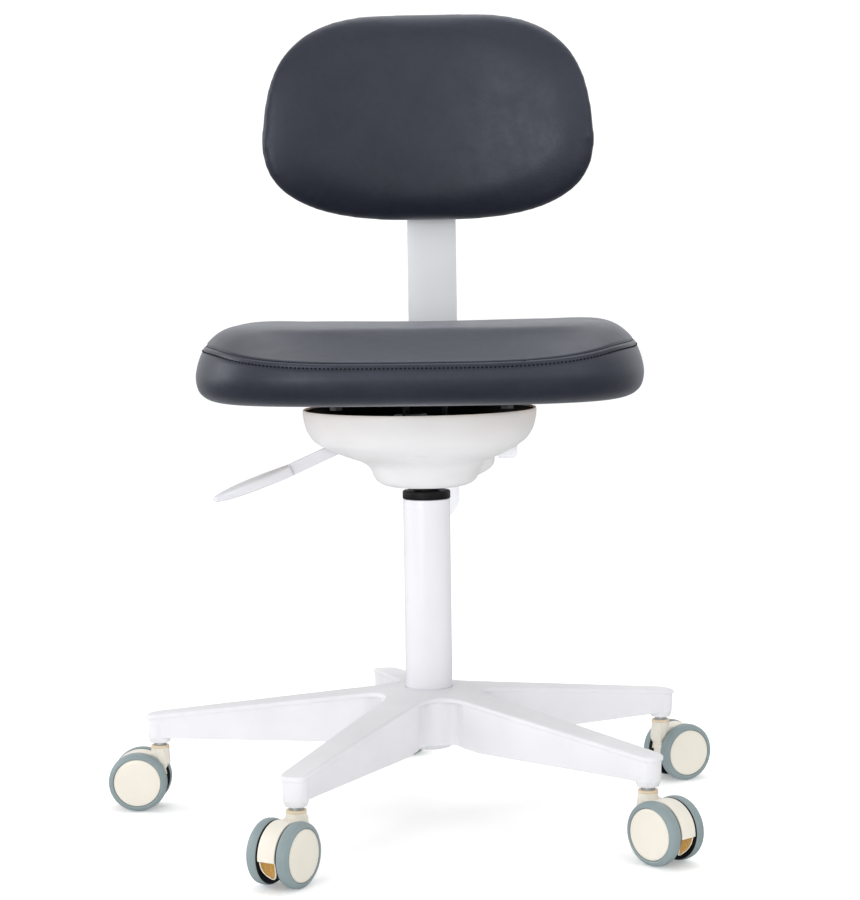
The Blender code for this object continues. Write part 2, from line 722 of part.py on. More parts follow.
def back_outline_point(u, v):
    """The backrest's front view: widest below its middle, narrower and higher above."""
    power = 3.4 if v > 0 else 2.9
    plan = rounded(u, v, power)
    z = v * plan * (BACK_RISE if v > 0 else BACK_DROP)
    half = BACK_HALF_WIDTH - 0.06 * max(z, 0)
    return u * plan * half, z


def back_shape(front, rear, inset, power):
    """Maps a cube to a pad between two depths, bent forward at its two sides."""

    def shape(u, v, w):
        edge = max(abs(u), abs(v))
        fold = rounded(edge, w, power)
        x, z = back_outline_point(u, v)
        x *= fold * (1 - inset / BACK_HALF_WIDTH)
        z *= fold * (1 - inset / BACK_RISE)
        y = (front + rear) / 2 - (rear - front) / 2 * w * fold
        bend = BACK_CURVE * (x / BACK_HALF_WIDTH) ** 2
        return Vector((x, y - bend, z + BACK_MIDDLE_Z))

    return shape


def make_backrest():
    radius = BAR_WIDTH / 2
    low = (0, BAR_BOTTOM_Z + radius)
    high = (0, BAR_TOP_Z - radius)
    outline = arc(low, radius, 180, 360, 12) + arc(high, radius, 0, 180, 12)
    bar_mesh = plate_mesh(outline, -BAR_THICKNESS / 2, BAR_THICKNESS / 2)
    bar_mesh.transform(Matrix.Rotation(math.pi / 2, 4, "X"))
    add_node("upright_bar", bar_mesh, "white_paint", COLUMN, (0, BAR_Y, 0))
    shell_rear = BAR_Y - BAR_THICKNESS / 2 - GAP
    shell_front = shell_rear - SHELL_THICKNESS
    shell = padded_mesh(back_shape(shell_front, shell_rear, 0.002, 12), 6)
    add_node("backrest_shell", shell, "black_plastic", COLUMN)
    pad_rear = shell_front - 0.0015
    pad = padded_mesh(back_shape(pad_rear - CUSHION_THICKNESS, pad_rear, 0, 3.4), 8)
    add_node("backrest_cushion", pad, "grey_vinyl", COLUMN)


def make_back_bracket():
    """The arm under the seat: an eye on the tilt pin, a strap, and a sleeve that holds the bar."""
    half_x, half_y = SLEEVE_HALF
    sleeve = box_mesh((-half_x, BAR_Y - half_y, SLEEVE_Z[0]), (half_x, BAR_Y + half_y, SLEEVE_Z[1]))
    bracket = add_node("back_bracket", sleeve, "white_paint", COLUMN)
    strap_low = (-0.0178, PIVOT_Y, PIVOT_Z - 0.004)
    strap_high = (0.0178, BAR_Y - half_y + 0.002, PIVOT_Z + 0.004)
    boolean(bracket, add_cutter("strap", box_mesh(strap_low, strap_high), COLUMN), "UNION")
    eye = rod_mesh(0.0110, -0.0178, 0.0178, 20, axis="X")
    place = (0, PIVOT_Y, PIVOT_Z)
    boolean(bracket, add_cutter("eye", eye, COLUMN, place), "UNION")
    hole = rod_mesh(PIVOT_RADIUS + GAP, -0.03, 0.03, 16, axis="X")
    boolean(bracket, add_cutter("eye_hole", hole, COLUMN, place))
    slot_x = BAR_WIDTH / 2 + GAP
    slot_y = BAR_THICKNESS / 2 + GAP
    slot = box_mesh((-slot_x, BAR_Y - slot_y, 0.3), (slot_x, BAR_Y + slot_y, 0.5))
    boolean(bracket, add_cutter("bar_slot", slot, COLUMN))
    stud_hole = rod_mesh(0.0043, BAR_Y, BAR_Y + 0.03, 12, axis="Y")
    boolean(bracket, add_cutter("stud_hole", stud_hole, COLUMN, (0, 0, CLAMP_Z)))


def make_knobs():
    knob_face = BAR_Y + SLEEVE_HALF[1] + GAP
    stud_end = BAR_Y + BAR_THICKNESS / 2 + GAP
    clamp = (
        (0, knob_face + 0.0205),
        (0.0140, knob_face + 0.0205),
        (0.0180, knob_face + 0.0165),
        (0.0180, knob_face + 0.0040),
        (0.0120, knob_face),
        (0.0040, knob_face),
        (0.0040, stud_end),
        (0, stud_end),
    )
    turn = (-math.pi / 2, 0, 0)
    mesh = turned_mesh(clamp, 24)
    add_node("clamp_knob", mesh, "black_plastic", COLUMN, (0, 0, CLAMP_Z), turn)
    low, high = TILT_KNOB_X
    bore = PIVOT_RADIUS + GAP
    tilt = (
        (0, high),
        (TILT_KNOB_RADIUS - 0.0035, high),
        (TILT_KNOB_RADIUS, high - 0.0045),
        (TILT_KNOB_RADIUS, low),
        (bore, low),
        (bore, high - 0.0040),
        (0, high - 0.0040),
    )
    place = (0, PIVOT_Y, PIVOT_Z)
    turn = (0, math.pi / 2, 0)
    add_node("tilt_knob", turned_mesh(tilt, 24), "white_paint", COLUMN, place, turn)
    pin = rod_mesh(PIVOT_RADIUS, -0.030, high - 0.0045, 16, axis="X")
    add_node("bracket_pivot_pin", pin, "zinc_steel", COLUMN, place)


# Colour, roughness and metallic value of each kind of surface.
LOOKS = {
    "white_casting": ((0.90, 0.90, 0.92), 0.40),
    "white_plastic": ((0.93, 0.93, 0.92), 0.42),
    "white_paint": ((0.84, 0.86, 0.90), 0.40),
    "ivory_plastic": ((0.86, 0.81, 0.71), 0.40),
    "grey_tyre": ((0.33, 0.38, 0.41), 0.55),
    "grey_vinyl": ((0.045, 0.050, 0.065), 0.45),
    "black_plastic": ((0.012, 0.012, 0.013), 0.45),
    "black_steel": ((0.015, 0.015, 0.016), 0.38, 0.3),
    "zinc_steel": ((0.62, 0.62, 0.60), 0.32, 0.9),
    "polished_steel": ((0.75, 0.75, 0.76), 0.15, 1.0),
    "plywood": ((0.42, 0.30, 0.18), 0.70),
}

clear_scene()
STOOL = make_collection("dentist_stool")
CUTTERS = make_collection("cutters", hidden=True)
COLUMN = empty("column_axis", (COLUMN_X, COLUMN_Y, 0))
BASE = empty("base_axis", (0, 0, 0), FIRST_ARM_ANGLE, COLUMN)
LEVER_REACH = Matrix.Rotation(math.radians(LEVER_YAW), 3, "Z") @ Vector((LEVER_PIVOT_X, 0, 0))
LEVER = empty("lever_axis", (LEVER_REACH.x, LEVER_REACH.y, LEVER_PIVOT_Z), LEVER_YAW, COLUMN)

make_base()
for caster in range(1, ARM_COUNT + 1):
    make_caster(caster)
make_column()
make_mechanism()
make_cover()
make_lever()
make_seat()
make_back_bracket()
make_backrest()
make_knobs()
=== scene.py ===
"""Dentist stool: the looks of every visible piece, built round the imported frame.

Metres, in the frame's axes: +Z up, the seat faces -Y, and the floor is at z = 0.
"""

import json
import math

import bmesh
import bpy
from mathutils import Matrix, Vector
from mathutils.bvhtree import BVHTree
from mathutils.kdtree import KDTree


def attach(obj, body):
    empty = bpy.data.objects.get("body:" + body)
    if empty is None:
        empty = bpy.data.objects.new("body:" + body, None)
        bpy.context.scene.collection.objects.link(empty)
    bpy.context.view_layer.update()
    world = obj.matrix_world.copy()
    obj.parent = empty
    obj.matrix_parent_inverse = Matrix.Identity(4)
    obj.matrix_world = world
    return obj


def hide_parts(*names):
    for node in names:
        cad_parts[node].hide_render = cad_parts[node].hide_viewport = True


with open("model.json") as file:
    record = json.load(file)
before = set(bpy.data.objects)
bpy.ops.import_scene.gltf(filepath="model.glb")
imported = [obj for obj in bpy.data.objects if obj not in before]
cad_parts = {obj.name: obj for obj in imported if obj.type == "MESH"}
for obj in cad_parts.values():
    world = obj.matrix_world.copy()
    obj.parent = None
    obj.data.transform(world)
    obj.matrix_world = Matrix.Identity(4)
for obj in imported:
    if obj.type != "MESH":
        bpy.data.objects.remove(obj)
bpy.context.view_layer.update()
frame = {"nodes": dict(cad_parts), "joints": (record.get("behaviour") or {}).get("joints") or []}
NODES = frame["nodes"]
JOINTS = {joint["name"]: joint for joint in frame["joints"]}

COLUMN = Vector(JOINTS["seat_swivel"]["pos_m"])
COLUMN.z = 0
AT_COLUMN = Matrix.Translation(COLUMN)

# Camera and room
FACE_TURN = math.radians(2.7)
CAMERA_BACK = 2.47419
CAMERA_HEIGHT = 0.60167
CAMERA_PITCH = 0.08457
CAMERA_YAW = 0.0018
CAMERA_ROLL = 0.0144
FOCAL_PIXELS = 2331.28
FRAME_HEIGHT_PIXELS = 900
SENSOR_MM = 36

# Base
ARM_COUNT = 5
ARM_STEP = math.radians(360 / ARM_COUNT)
ARM_TIP_HALF = 0.0138
ARM_HUB_HALF = 0.0235
ARM_FILLET = 0.030
ARM_WALL = 0.0042
HUB_TOP_Z = 0.138
HUB_FLAT_RADIUS = 0.032
ARM_SLOPE = 0.1227
ARM_BOTTOM_Z = 0.079
HUB_BOTTOM_Z = 0.083
COLUMN_RADIUS = 0.025
SOCKET_RADIUS = 0.031
RIB_COUNT = 6
RIB_START = 0.075
RIB_STEP = 0.036
RIB_HALF = 0.0009
RIB_LEAN = math.radians(38)
GAP = 0.0003

# How finely the star's outline is divided
SIDE_STEPS = 14
TIP_STEPS = 16
FILLET_STEPS = 20
ACROSS_STEPS = 6
HUB_RINGS = 5

# Casters
WHEEL_RADIUS = 0.0320
WHEEL_SIDES = 96

# Seat
SEAT_HALF = (0.2335, 0.205)
SEAT_SHIFT = 0.0026
SEAT_POWER = 3.4
SEAT_BOTTOM_Z = 0.4505
SEAT_TOP_Z = 0.5316
BOARD_HALF = (0.1666, 0.1466)
BOARD_POWER = 4.8
BOARD_TOP_Z = 0.4625

# Backrest
BAR_Y = 0.216
BAR_HALF_THICKNESS = 0.003
BACK_MIDDLE_Z = 0.730
BACK_HALF_WIDTH = 0.1830
BACK_RISE = 0.137
BACK_DROP = 0.0915
BACK_CURVE = 0.042
SHELL_THICKNESS = 0.0045
CUSHION_THICKNESS = 0.044


# Materials

NOISE_SPAN = (0.3, 0.7)


def map_range(tree, source, start, end, low, high):
    """source between start and end, mapped to low .. high."""
    spread = tree.nodes.new("ShaderNodeMapRange")
    spread.inputs["From Min"].default_value = start
    spread.inputs["From Max"].default_value = end
    spread.inputs["To Min"].default_value = low
    spread.inputs["To Max"].default_value = high
    tree.links.new(source, spread.inputs["Value"])
    return spread.outputs["Result"]


class Nodes:
    """Short calls for building one material's nodes."""

    def __init__(self, name):
        self.material = bpy.data.materials.new(name)
        self.material.use_nodes = True
        self.tree = self.material.node_tree
        self.shader = self.tree.nodes["Principled BSDF"]
        self.place = self.node("ShaderNodeTexCoord").outputs["Object"]

    def node(self, kind, **settings):
        made = self.tree.nodes.new(kind)
        for key, value in settings.items():
            setattr(made, key, value)
        return made

    def link(self, source, target):
        self.tree.links.new(source, target)

    def noise(self, scale, detail=3.0, rough=0.5, stretch=None):
        noise = self.node("ShaderNodeTexNoise")
        noise.inputs["Scale"].default_value = scale
        noise.inputs["Detail"].default_value = detail
        noise.inputs["Roughness"].default_value = rough
        source = self.place
        if stretch:
            mapping = self.node("ShaderNodeMapping")
            mapping.inputs["Scale"].default_value = stretch
            self.link(self.place, mapping.inputs["Vector"])
            source = mapping.outputs["Vector"]
        self.link(source, noise.inputs["Vector"])
        return noise.outputs["Fac"]

    def cells(self, scale):
        cells = self.node("ShaderNodeTexVoronoi", feature="SMOOTH_F1")
        cells.inputs["Scale"].default_value = scale
        self.link(self.place, cells.inputs["Vector"])
        return cells.outputs["Distance"]

    def spread(self, source, low, high):
        """source, a noise, spread to low .. high."""
        return map_range(self.tree, source, *NOISE_SPAN, low, high)

    def add(self, first, second, share=1.0):
        """first + share * second."""
        total = self.node("ShaderNodeMath", operation="MULTIPLY_ADD")
        self.link(second, total.inputs[0])
        total.inputs[1].default_value = share
        self.link(first, total.inputs[2])
        return total.outputs["Value"]

    def bump(self, height, strength, distance):
        bump = self.node("ShaderNodeBump")
        bump.inputs["Strength"].default_value = strength
        bump.inputs["Distance"].default_value = distance
        self.link(height, bump.inputs["Height"])
        self.link(bump.outputs["Normal"], self.shader.inputs["Normal"])

    def colour(self, source, dark, light, start=0.3, end=0.7):
        """The base colour: dark where source is at start, light where it is at end."""
        ramp = self.node("ShaderNodeValToRGB")
        stops = ((start, dark), (end, light))
        for element, (place, colour) in zip(ramp.color_ramp.elements, stops):
            element.position = place
            element.color = (*colour, 1)
        self.link(source, ramp.inputs["Fac"])
        self.link(ramp.outputs["Color"], self.shader.inputs["Base Color"])

    def roughness(self, socket):
        self.link(socket, self.shader.inputs["Roughness"])

    def set(self, **values):
        for key, value in values.items():
            self.shader.inputs[key.replace("_", " ")].default_value = value


def moulded(name, dark, light, rough, grain=900, depth=0.00004, coat=0.0, level=0.5):
    """Moulded plastic or paint: faint mottling of the colour, uneven gloss and a fine skin."""
    nodes = Nodes(name)
    nodes.colour(nodes.noise(14, 4), dark, light)
    nodes.roughness(nodes.spread(nodes.noise(60, 4), rough - 0.04, rough + 0.06))
    nodes.bump(nodes.add(nodes.noise(grain, 2), nodes.noise(grain / 6, 2), 0.6), 0.35, depth)
    nodes.set(Coat_Weight=coat, Coat_Roughness=0.25, Specular_IOR_Level=level)
    return nodes.material


def vinyl(name, dark, light):
    """Upholstery vinyl: pebbled grain with creases between the pebbles, and cloudy gloss."""
    nodes = Nodes(name)
    cloud = nodes.add(nodes.noise(9, 5, 0.6), nodes.noise(160, 3), 0.35)
    nodes.colour(cloud, dark, light, 0.35, 0.95)
    nodes.roughness(nodes.spread(nodes.noise(38, 6, 0.65), 0.38, 0.48))
    pebbles = nodes.add(nodes.cells(620), nodes.noise(1500, 2), 0.25)
    nodes.bump(nodes.add(pebbles, nodes.noise(70, 3), 0.8), 0.42, 0.00022)
    nodes.set(Specular_IOR_Level=0.6, Specular_Tint=(0.84, 0.90, 1.0, 1))
    nodes.set(Sheen_Weight=0.18, Sheen_Roughness=0.4, Sheen_Tint=(0.86, 0.91, 1.0, 1))
    return nodes.material


def metal(name, dark, light, rough, stretch=(1, 1, 1), depth=0.00003):
    nodes = Nodes(name)
    streaks = nodes.noise(420, 3, 0.6, stretch)
    nodes.colour(streaks, dark, light)
    nodes.roughness(nodes.spread(nodes.noise(90, 4), rough - 0.05, rough + 0.10))
    nodes.bump(streaks, 0.3, depth)
    nodes.set(Metallic=1.0)
    return nodes.material


def timber(name):
    """Plywood: long grain lines and a rough face."""
    nodes = Nodes(name)
    grain = nodes.noise(30, 6, 0.6, (1, 9, 9))
    nodes.colour(grain, (0.30, 0.19, 0.10), (0.52, 0.38, 0.23), 0.35, 0.65)
    nodes.roughness(nodes.spread(grain, 0.62, 0.80))
    nodes.bump(grain, 0.5, 0.0003)
    return nodes.material


def amber_shade_and_glow(name):
    # The amber colour stands in for the shade under the hood and the light that comes through the
    # ivory plastic: painted shade and painted light.
    nodes = Nodes(name)
    nodes.colour(nodes.noise(40, 3), (0.36, 0.19, 0.035), (0.55, 0.33, 0.09))
    nodes.roughness(nodes.spread(nodes.noise(90), 0.22, 0.34))
    nodes.bump(nodes.noise(500, 2), 0.3, 0.00004)
    nodes.set(Subsurface_Weight=0.4, Subsurface_Scale=0.004, Specular_IOR_Level=0.6)
    return nodes.material


WHITE_CASTING = moulded("white_casting", (0.745, 0.745, 0.775), (0.805, 0.805, 0.83), 0.38)
WHITE_TUBE = moulded(
    "white_tube", (0.76, 0.76, 0.80), (0.79, 0.79, 0.83), 0.34, 1200, 0.00003, 0.2
)
WHITE_PLASTIC = moulded("white_plastic", (0.675, 0.665, 0.675), (0.715, 0.71, 0.72), 0.42)
# The white paint is made lighter to make up for the shade that the seat and backrest cast on the
# bar, and the lever gets a darker copy of it because its top catches more light: painted light and
# painted shade.
LIGHTENED_WHITE_PAINT = moulded(
    "white_paint", (0.88, 0.89, 0.93), (0.91, 0.92, 0.95), 0.34, 1200, 0.00003, 0.2
)
DARKENED_WHITE_PAINT = moulded(
    "darkened_white_paint", (0.67, 0.675, 0.715), (0.72, 0.725, 0.76), 0.36, 1200, 0.00003, 0.2
)
BADGE = moulded("badge_plate", (0.66, 0.66, 0.66), (0.72, 0.72, 0.71), 0.45)
IVORY = moulded("ivory_plastic", (0.76, 0.72, 0.63), (0.82, 0.78, 0.69), 0.36)
TYRE = moulded("grey_tyre", (0.215, 0.275, 0.288), (0.265, 0.328, 0.340), 0.46, 700, 0.0001)
VINYL = vinyl("grey_vinyl", (0.008, 0.0095, 0.018), (0.0185, 0.0215, 0.035))
THREAD = moulded(
    "dark_thread", (0.003, 0.003, 0.005), (0.008, 0.009, 0.012), 0.7, 2500, 0.0002, level=0.15
)
BLACK_PLASTIC = moulded(
    "black_plastic", (0.003, 0.003, 0.004), (0.007, 0.007, 0.008), 0.42, level=0.22
)
BLACK_STEEL = moulded(
    "black_steel", (0.003, 0.003, 0.004), (0.007, 0.007, 0.008), 0.32, level=0.25
)
ZINC = metal("zinc_steel", (0.58, 0.64, 0.66), (0.76, 0.79, 0.80), 0.34)
DARK_ZINC = metal("dark_zinc", (0.10, 0.10, 0.11), (0.20, 0.20, 0.21), 0.36)
POLISHED = metal("polished_steel", (0.70, 0.70, 0.71), (0.78, 0.78, 0.79), 0.14, (1, 1, 14))
PLYWOOD = timber("plywood")
AMBER_SHADE_AND_GLOW = amber_shade_and_glow("amber_shade_and_glow")
# The caster's collar ring: ivory darkened towards amber for the shade under the base's arm and the
# light through the plastic: painted shade and painted light.
BARREL_SHADE_TINT = moulded("shaded_ivory", (0.70, 0.56, 0.38), (0.78, 0.66, 0.49), 0.36)


# Mesh helpers


WELD = 0.000002


def mesh_of(name, bm, matrix=None):
    """The mesh of a bmesh, welded and with its faces outward. Frees the bmesh."""
    bmesh.ops.remove_doubles(bm, verts=bm.verts, dist=WELD)
    bmesh.ops.recalc_face_normals(bm, faces=bm.faces)
    if matrix is not None:
        bm.transform(matrix)
    mesh = bpy.data.meshes.new(name)
    bm.to_mesh(mesh)
    bm.free()
    return mesh


def shaded(mesh, material, smooth=38):
    """The mesh with its material, smooth except at edges sharper than smooth degrees."""
    mesh.shade_smooth()
    if smooth < 180:
        mesh.set_sharp_from_angle(angle=math.radians(smooth))
    if not mesh.materials:
        mesh.materials.append(material)
    return mesh


def add_object(name, data):
    made = bpy.data.objects.new(name, data)
    bpy.context.scene.collection.objects.link(made)
    return made


def add_piece(name, mesh, body, slot, nodes=(), matrix=None):
    """One visible piece on a body, standing in for the CAD nodes named."""
    piece = add_object(name, mesh)
    if matrix is not None:
        piece.matrix_world = matrix
    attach(piece, body)
    if nodes:
        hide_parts(*nodes)
    return piece


def finish_mesh(name, bm, material, body, slot, nodes=(), smooth=38, matrix=None):
    """A piece made from a bmesh."""
    mesh = shaded(mesh_of(name, bm, matrix), material, smooth)
    return add_piece(name, mesh, body, slot, nodes)


def faces_into(bm, points, faces):
    verts = [bm.verts.new(point) for point in points]
    for face in faces:
        corners = list(dict.fromkeys(face))
        if len(corners) > 2:
            bm.faces.new([verts[i] for i in corners])


def strip(first, second, closed=True):
    """Quads between two equally long rows of vertex numbers."""
    count = len(first)
    last = count if closed else count - 1
    return [
        (first[i], first[(i + 1) % count], second[(i + 1) % count], second[i]) for i in range(last)
    ]


def strips(rows, closed=True):
    """Quads between each row of vertex numbers and the next."""
    return [face for pair in zip(rows, rows[1:]) for face in strip(*pair, closed)]


def numbered(rings):
    """The points of all the rings in one list, and each ring's numbers in it."""
    points = []
    rows = []
    for ring in rings:
        rows.append(list(range(len(points), len(points) + len(ring))))
        points += ring
    return points, rows


def rod_into(bm, rings):
    """A solid through rings of points, with a flat face at each end."""
    points, rows = numbered(rings)
    ends = [tuple(rows[0]), tuple(rows[-1][::-1])]
    faces_into(bm, points, ends + strips(rows))


def loop_into(bm, rings):
    """A hollow solid through rings of points, the last joined to the first."""
    points, rows = numbered(rings)
    faces_into(bm, points, strips([*rows, rows[0]]))


def circle(around):
    """Evenly spaced angles of a full turn."""
    return [2 * math.pi * k / around for k in range(around)]


def lathe_into(bm, profile, sides, closed=False, matrix=None):
    """Turns a profile of (radius, height) points about Z."""
    points = []
    rings = []
    for radius, height in profile:
        if radius < 1e-7:
            rings.append([len(points)] * sides)
            points.append(Vector((0, 0, height)))
            continue
        rings.append(list(range(len(points), len(points) + sides)))
        for angle in circle(sides):
            points.append(Vector((radius * math.cos(angle), radius * math.sin(angle), height)))
    if closed:
        rings.append(rings[0])
    if matrix is not None:
        points = [matrix @ point for point in points]
    faces_into(bm, points, strips(rings))


def turned(profile, sides, closed=True):
    bm = bmesh.new()
    lathe_into(bm, profile, sides, closed)
    return bm


def box(half_x, half_y, radius=0):
    """The corners of an upright rectangle round the origin, for a slab or a rounded path."""
    corners = ((-half_x, -half_y), (half_x, -half_y), (half_x, half_y), (-half_x, half_y))
    return [(*corner, radius) for corner in corners] if radius else corners


def rounded_path(corners, steps=4, closed=True):
    """A path through (x, y, radius) corners, each turned by an arc of its radius."""
    count = len(corners)
    path = []
    for i, corner in enumerate(corners):
        here = Vector(corner[:2])
        radius = corner[2] if len(corner) > 2 else 0
        if radius == 0 or (not closed and i in (0, count - 1)):
            path.append(tuple(here))
            continue
        before = (Vector(corners[i - 1][:2]) - here).normalized()
        after = (Vector(corners[(i + 1) % count][:2]) - here).normalized()
        half = before.angle(after) / 2
        reach = radius / math.tan(half)
        centre = here + (before + after).normalized() * radius / math.sin(half)
        start = here + before * reach - centre
        turn = start.angle_signed(here + after * reach - centre)
        for step in range(steps + 1):
            spoke = start.copy()
            spoke.rotate(Matrix.Rotation(-turn * step / steps, 2))
            path.append(tuple(centre + spoke))
    return path


def arc(centre, radius, start, end, steps):
    """Points on an arc between two angles in degrees, both ends included."""
    angles = [math.radians(start + (end - start) * i / steps) for i in range(steps + 1)]
    return [(centre[0] + radius * math.cos(a), centre[1] + radius * math.sin(a)) for a in angles]


def slab_into(bm, outline, low, high, bevel=0.0, matrix=None):
    """A flat outline extruded from low to high, with its edges rounded by bevel."""
    part = bmesh.new()
    face = part.faces.new([part.verts.new((x, y, low)) for x, y in outline])
    grown = bmesh.ops.extrude_face_region(part, geom=[face])
    top = [v for v in grown["geom"] if isinstance(v, bmesh.types.BMVert)]
    bmesh.ops.translate(part, verts=top, vec=(0, 0, high - low))
    bmesh.ops.recalc_face_normals(part, faces=part.faces)
    if bevel:
        rims = [e for e in part.edges if e.calc_face_angle(0) > math.radians(30)]
        bmesh.ops.bevel(
            part, geom=rims, offset=bevel, segments=3, profile=0.5, affect="EDGES"
        )
    if matrix is not None:
        part.transform(matrix)
    merge_into(bm, part)


def merge_into(bm, part):
    """Adds one bmesh to another and frees it."""
    mesh = bpy.data.meshes.new("part")
    part.to_mesh(mesh)
    part.free()
    bm.from_mesh(mesh)
    bpy.data.meshes.remove(mesh)


def modified(mesh, *settings):
    """mesh after the modifiers named in settings, each (kind, {property: value})."""
    holder = add_object("holder", mesh)
    for kind, values in settings:
        modifier = holder.modifiers.new(kind, kind)
        for key, value in values.items():
            setattr(modifier, key, value)
    bpy.context.view_layer.update()
    graph = bpy.context.evaluated_depsgraph_get()
    result = bpy.data.meshes.new_from_object(holder.evaluated_get(graph))
    bpy.data.objects.remove(holder)
    return result


def dress(material, *nodes):
    """Gives carried-over CAD nodes a finished material."""
    for node in nodes:
        mesh = NODES[node].data
        mesh.materials.clear()
        shaded(mesh, material, 30)


def surface_of(mesh):
    """A mesh to find places on."""
    return BVHTree.FromPolygons([v.co for v in mesh.vertices], [p.vertices for p in mesh.polygons])


ALONG_Y = Matrix.Rotation(math.pi / 2, 4, "X")
ALONG_X = Matrix.Rotation(math.pi / 2, 4, "Y")
TO_REAR = Matrix.Rotation(-math.pi / 2, 4, "X")


# Base

FIRST_STEM = Vector(JOINTS["caster_1_swivel"]["pos_m"]) - COLUMN
STEM_CIRCLE = math.hypot(FIRST_STEM.x, FIRST_STEM.y)
AT_FIRST_ARM = AT_COLUMN @ Matrix.Rotation(math.atan2(FIRST_STEM.y, FIRST_STEM.x), 4, "Z")


def top_z(x, y):
    return HUB_TOP_Z - ARM_SLOPE * max(math.hypot(x, y) - HUB_FLAT_RADIUS, 0)


def ceiling_z(x, y):
    return top_z(x, y) - ARM_WALL


def bottom_z(x, y):
    share = min(max((math.hypot(x, y) - 0.055) / 0.035, 0), 1)
    return HUB_BOTTOM_Z + (ARM_BOTTOM_Z - HUB_BOTTOM_Z) * share


def arm_ring(inset, hug=0.0):
    """One arm of the star's outline, drawn in by inset, from the hub out and back to the next arm.

    hug draws the wall in on both sides of the round socket that shows between two arms.
    """
    tip = ARM_TIP_HALF - inset
    taper = (ARM_HUB_HALF - ARM_TIP_HALF) / STEM_CIRCLE
    lean = math.atan(taper)
    fillet = ARM_FILLET + inset
    hub_half = ARM_HUB_HALF - inset * math.hypot(1, taper)
    reach = fillet * math.hypot(1, taper) + hub_half
    away = reach / (math.sin(ARM_STEP / 2) + taper * math.cos(ARM_STEP / 2))
    centre = Vector((math.cos(ARM_STEP / 2), math.sin(ARM_STEP / 2))) * away
    down = -math.pi / 2 - lean
    near = centre + Vector((math.cos(down), math.sin(down))) * fillet
    tip_arc = []
    for i in range(TIP_STEPS + 1):
        angle = (-math.pi / 2 + lean) + (math.pi - 2 * lean) * i / TIP_STEPS
        across = math.copysign(abs(math.sin(angle)) ** 0.72, math.sin(angle))
        tip_arc.append(Vector((STEM_CIRCLE + tip * math.cos(angle) ** 0.72, tip * across)))
    right = [Vector((near.x, -near.y)).lerp(tip_arc[0], i / SIDE_STEPS) for i in range(SIDE_STEPS)]
    left = [tip_arc[-1].lerp(near, (i + 1) / SIDE_STEPS) for i in range(SIDE_STEPS)]
    bend = []
    for i in range(1, FILLET_STEPS):
        share = i / FILLET_STEPS
        angle = down - (math.pi - ARM_STEP - 2 * lean) * share
        extra = hug * math.sin(2 * math.pi * share) ** 2
        bend.append(centre + Vector((math.cos(angle), math.sin(angle))) * (fillet + extra))
    return right + tip_arc + left + bend


def star_row(points, rows, height):
    """One ring of the star in points. height(x, y) gives each point's z."""
    ring = []
    for k in range(ARM_COUNT):
        for flat in rows:
            x, y = Matrix.Rotation(ARM_STEP * k, 2) @ flat
            ring.append(len(points))
            points.append((x, y, height(x, y)))
    return ring


def star_cap(points, faces, ring_rows, inner_radius, height, flip):
    """Fills the star's plan between its outline and a round hole with rows of quads."""
    cross = []
    span = SIDE_STEPS + TIP_STEPS
    for j in range(SIDE_STEPS + TIP_STEPS // 2):
        cross.append((ring_rows[j], ring_rows[span + SIDE_STEPS - j]))
    apex = ring_rows[SIDE_STEPS + TIP_STEPS // 2]
    bend = ring_rows[span + SIDE_STEPS + 1 :]
    made = []
    border = []
    for k in range(ARM_COUNT):
        turn = Matrix.Rotation(ARM_STEP * k, 2)
        lines = []
        for a, b in cross:
            lines.append([turn @ a.lerp(b, i / ACROSS_STEPS) for i in range(ACROSS_STEPS + 1)])
        lines.append([turn @ apex] * (ACROSS_STEPS + 1))
        made += strips(lines, closed=False)
        border += lines[0] + [turn @ point for point in bend]
    loops = []
    for ring in range(HUB_RINGS + 1):
        share = ring / HUB_RINGS
        loops.append([p.lerp(p.normalized() * inner_radius, share) for p in border])
    made += strips(loops)
    for quad in made:
        start = len(points)
        points += [(p.x, p.y, height(p.x, p.y)) for p in quad]
        numbers = list(range(start, start + 4))
        faces.append(numbers[::-1] if flip else numbers)


def make_star():
    points = []
    faces = []
    top_inset = 0.0024
    hole = COLUMN_RADIUS + 2 * GAP
    edge = (
        (top_inset, 0.0, 0.0), (0.0014, 0.00012, 0.0), (0.0007, 0.00050, 0.0),
        (0.0002, 0.00115, 0.0), (0.0, 0.0020, 0.0), (0.0, 0.0040, 0.0), (0.0002, 0.0046, 0.0002),
        (0.0008, 0.0050, 0.0010), (0.0014, 0.0054, 0.0022), (0.0016, 0.0064, 0.0042),
        (0.0016, 0.0085, 0.0056),
    )
    rings = []
    for inset, drop, hug in edge:
        rows = arm_ring(inset, hug)
        rings.append(star_row(points, rows, lambda x, y, d=drop: top_z(x, y) - d))
    walls = ((0.0017, 0.014), (0.0019, 0.006), (0.0021, 0.0016), (0.0024, 0.0006), (0.0031, 0.0))
    for inset, rise in walls:
        rows = arm_ring(inset, 0.0060)
        rings.append(star_row(points, rows, lambda x, y, d=rise: bottom_z(x, y) + d))
    inner_rows = arm_ring(0.0020 + ARM_WALL, 0.0030)
    rings.append(star_row(points, inner_rows, bottom_z))
    rings.append(star_row(points, inner_rows, ceiling_z))
    faces += strips(rings)
    star_cap(points, faces, arm_ring(top_inset), hole, top_z, False)
    star_cap(points, faces, inner_rows, hole, ceiling_z, True)
    bm = bmesh.new()
    faces_into(bm, points, faces)
    bmesh.ops.remove_doubles(bm, verts=bm.verts, dist=WELD)
    rims = [e for e in bm.edges if e.is_boundary]
    bmesh.ops.bridge_loops(bm, edges=rims)
    return bm


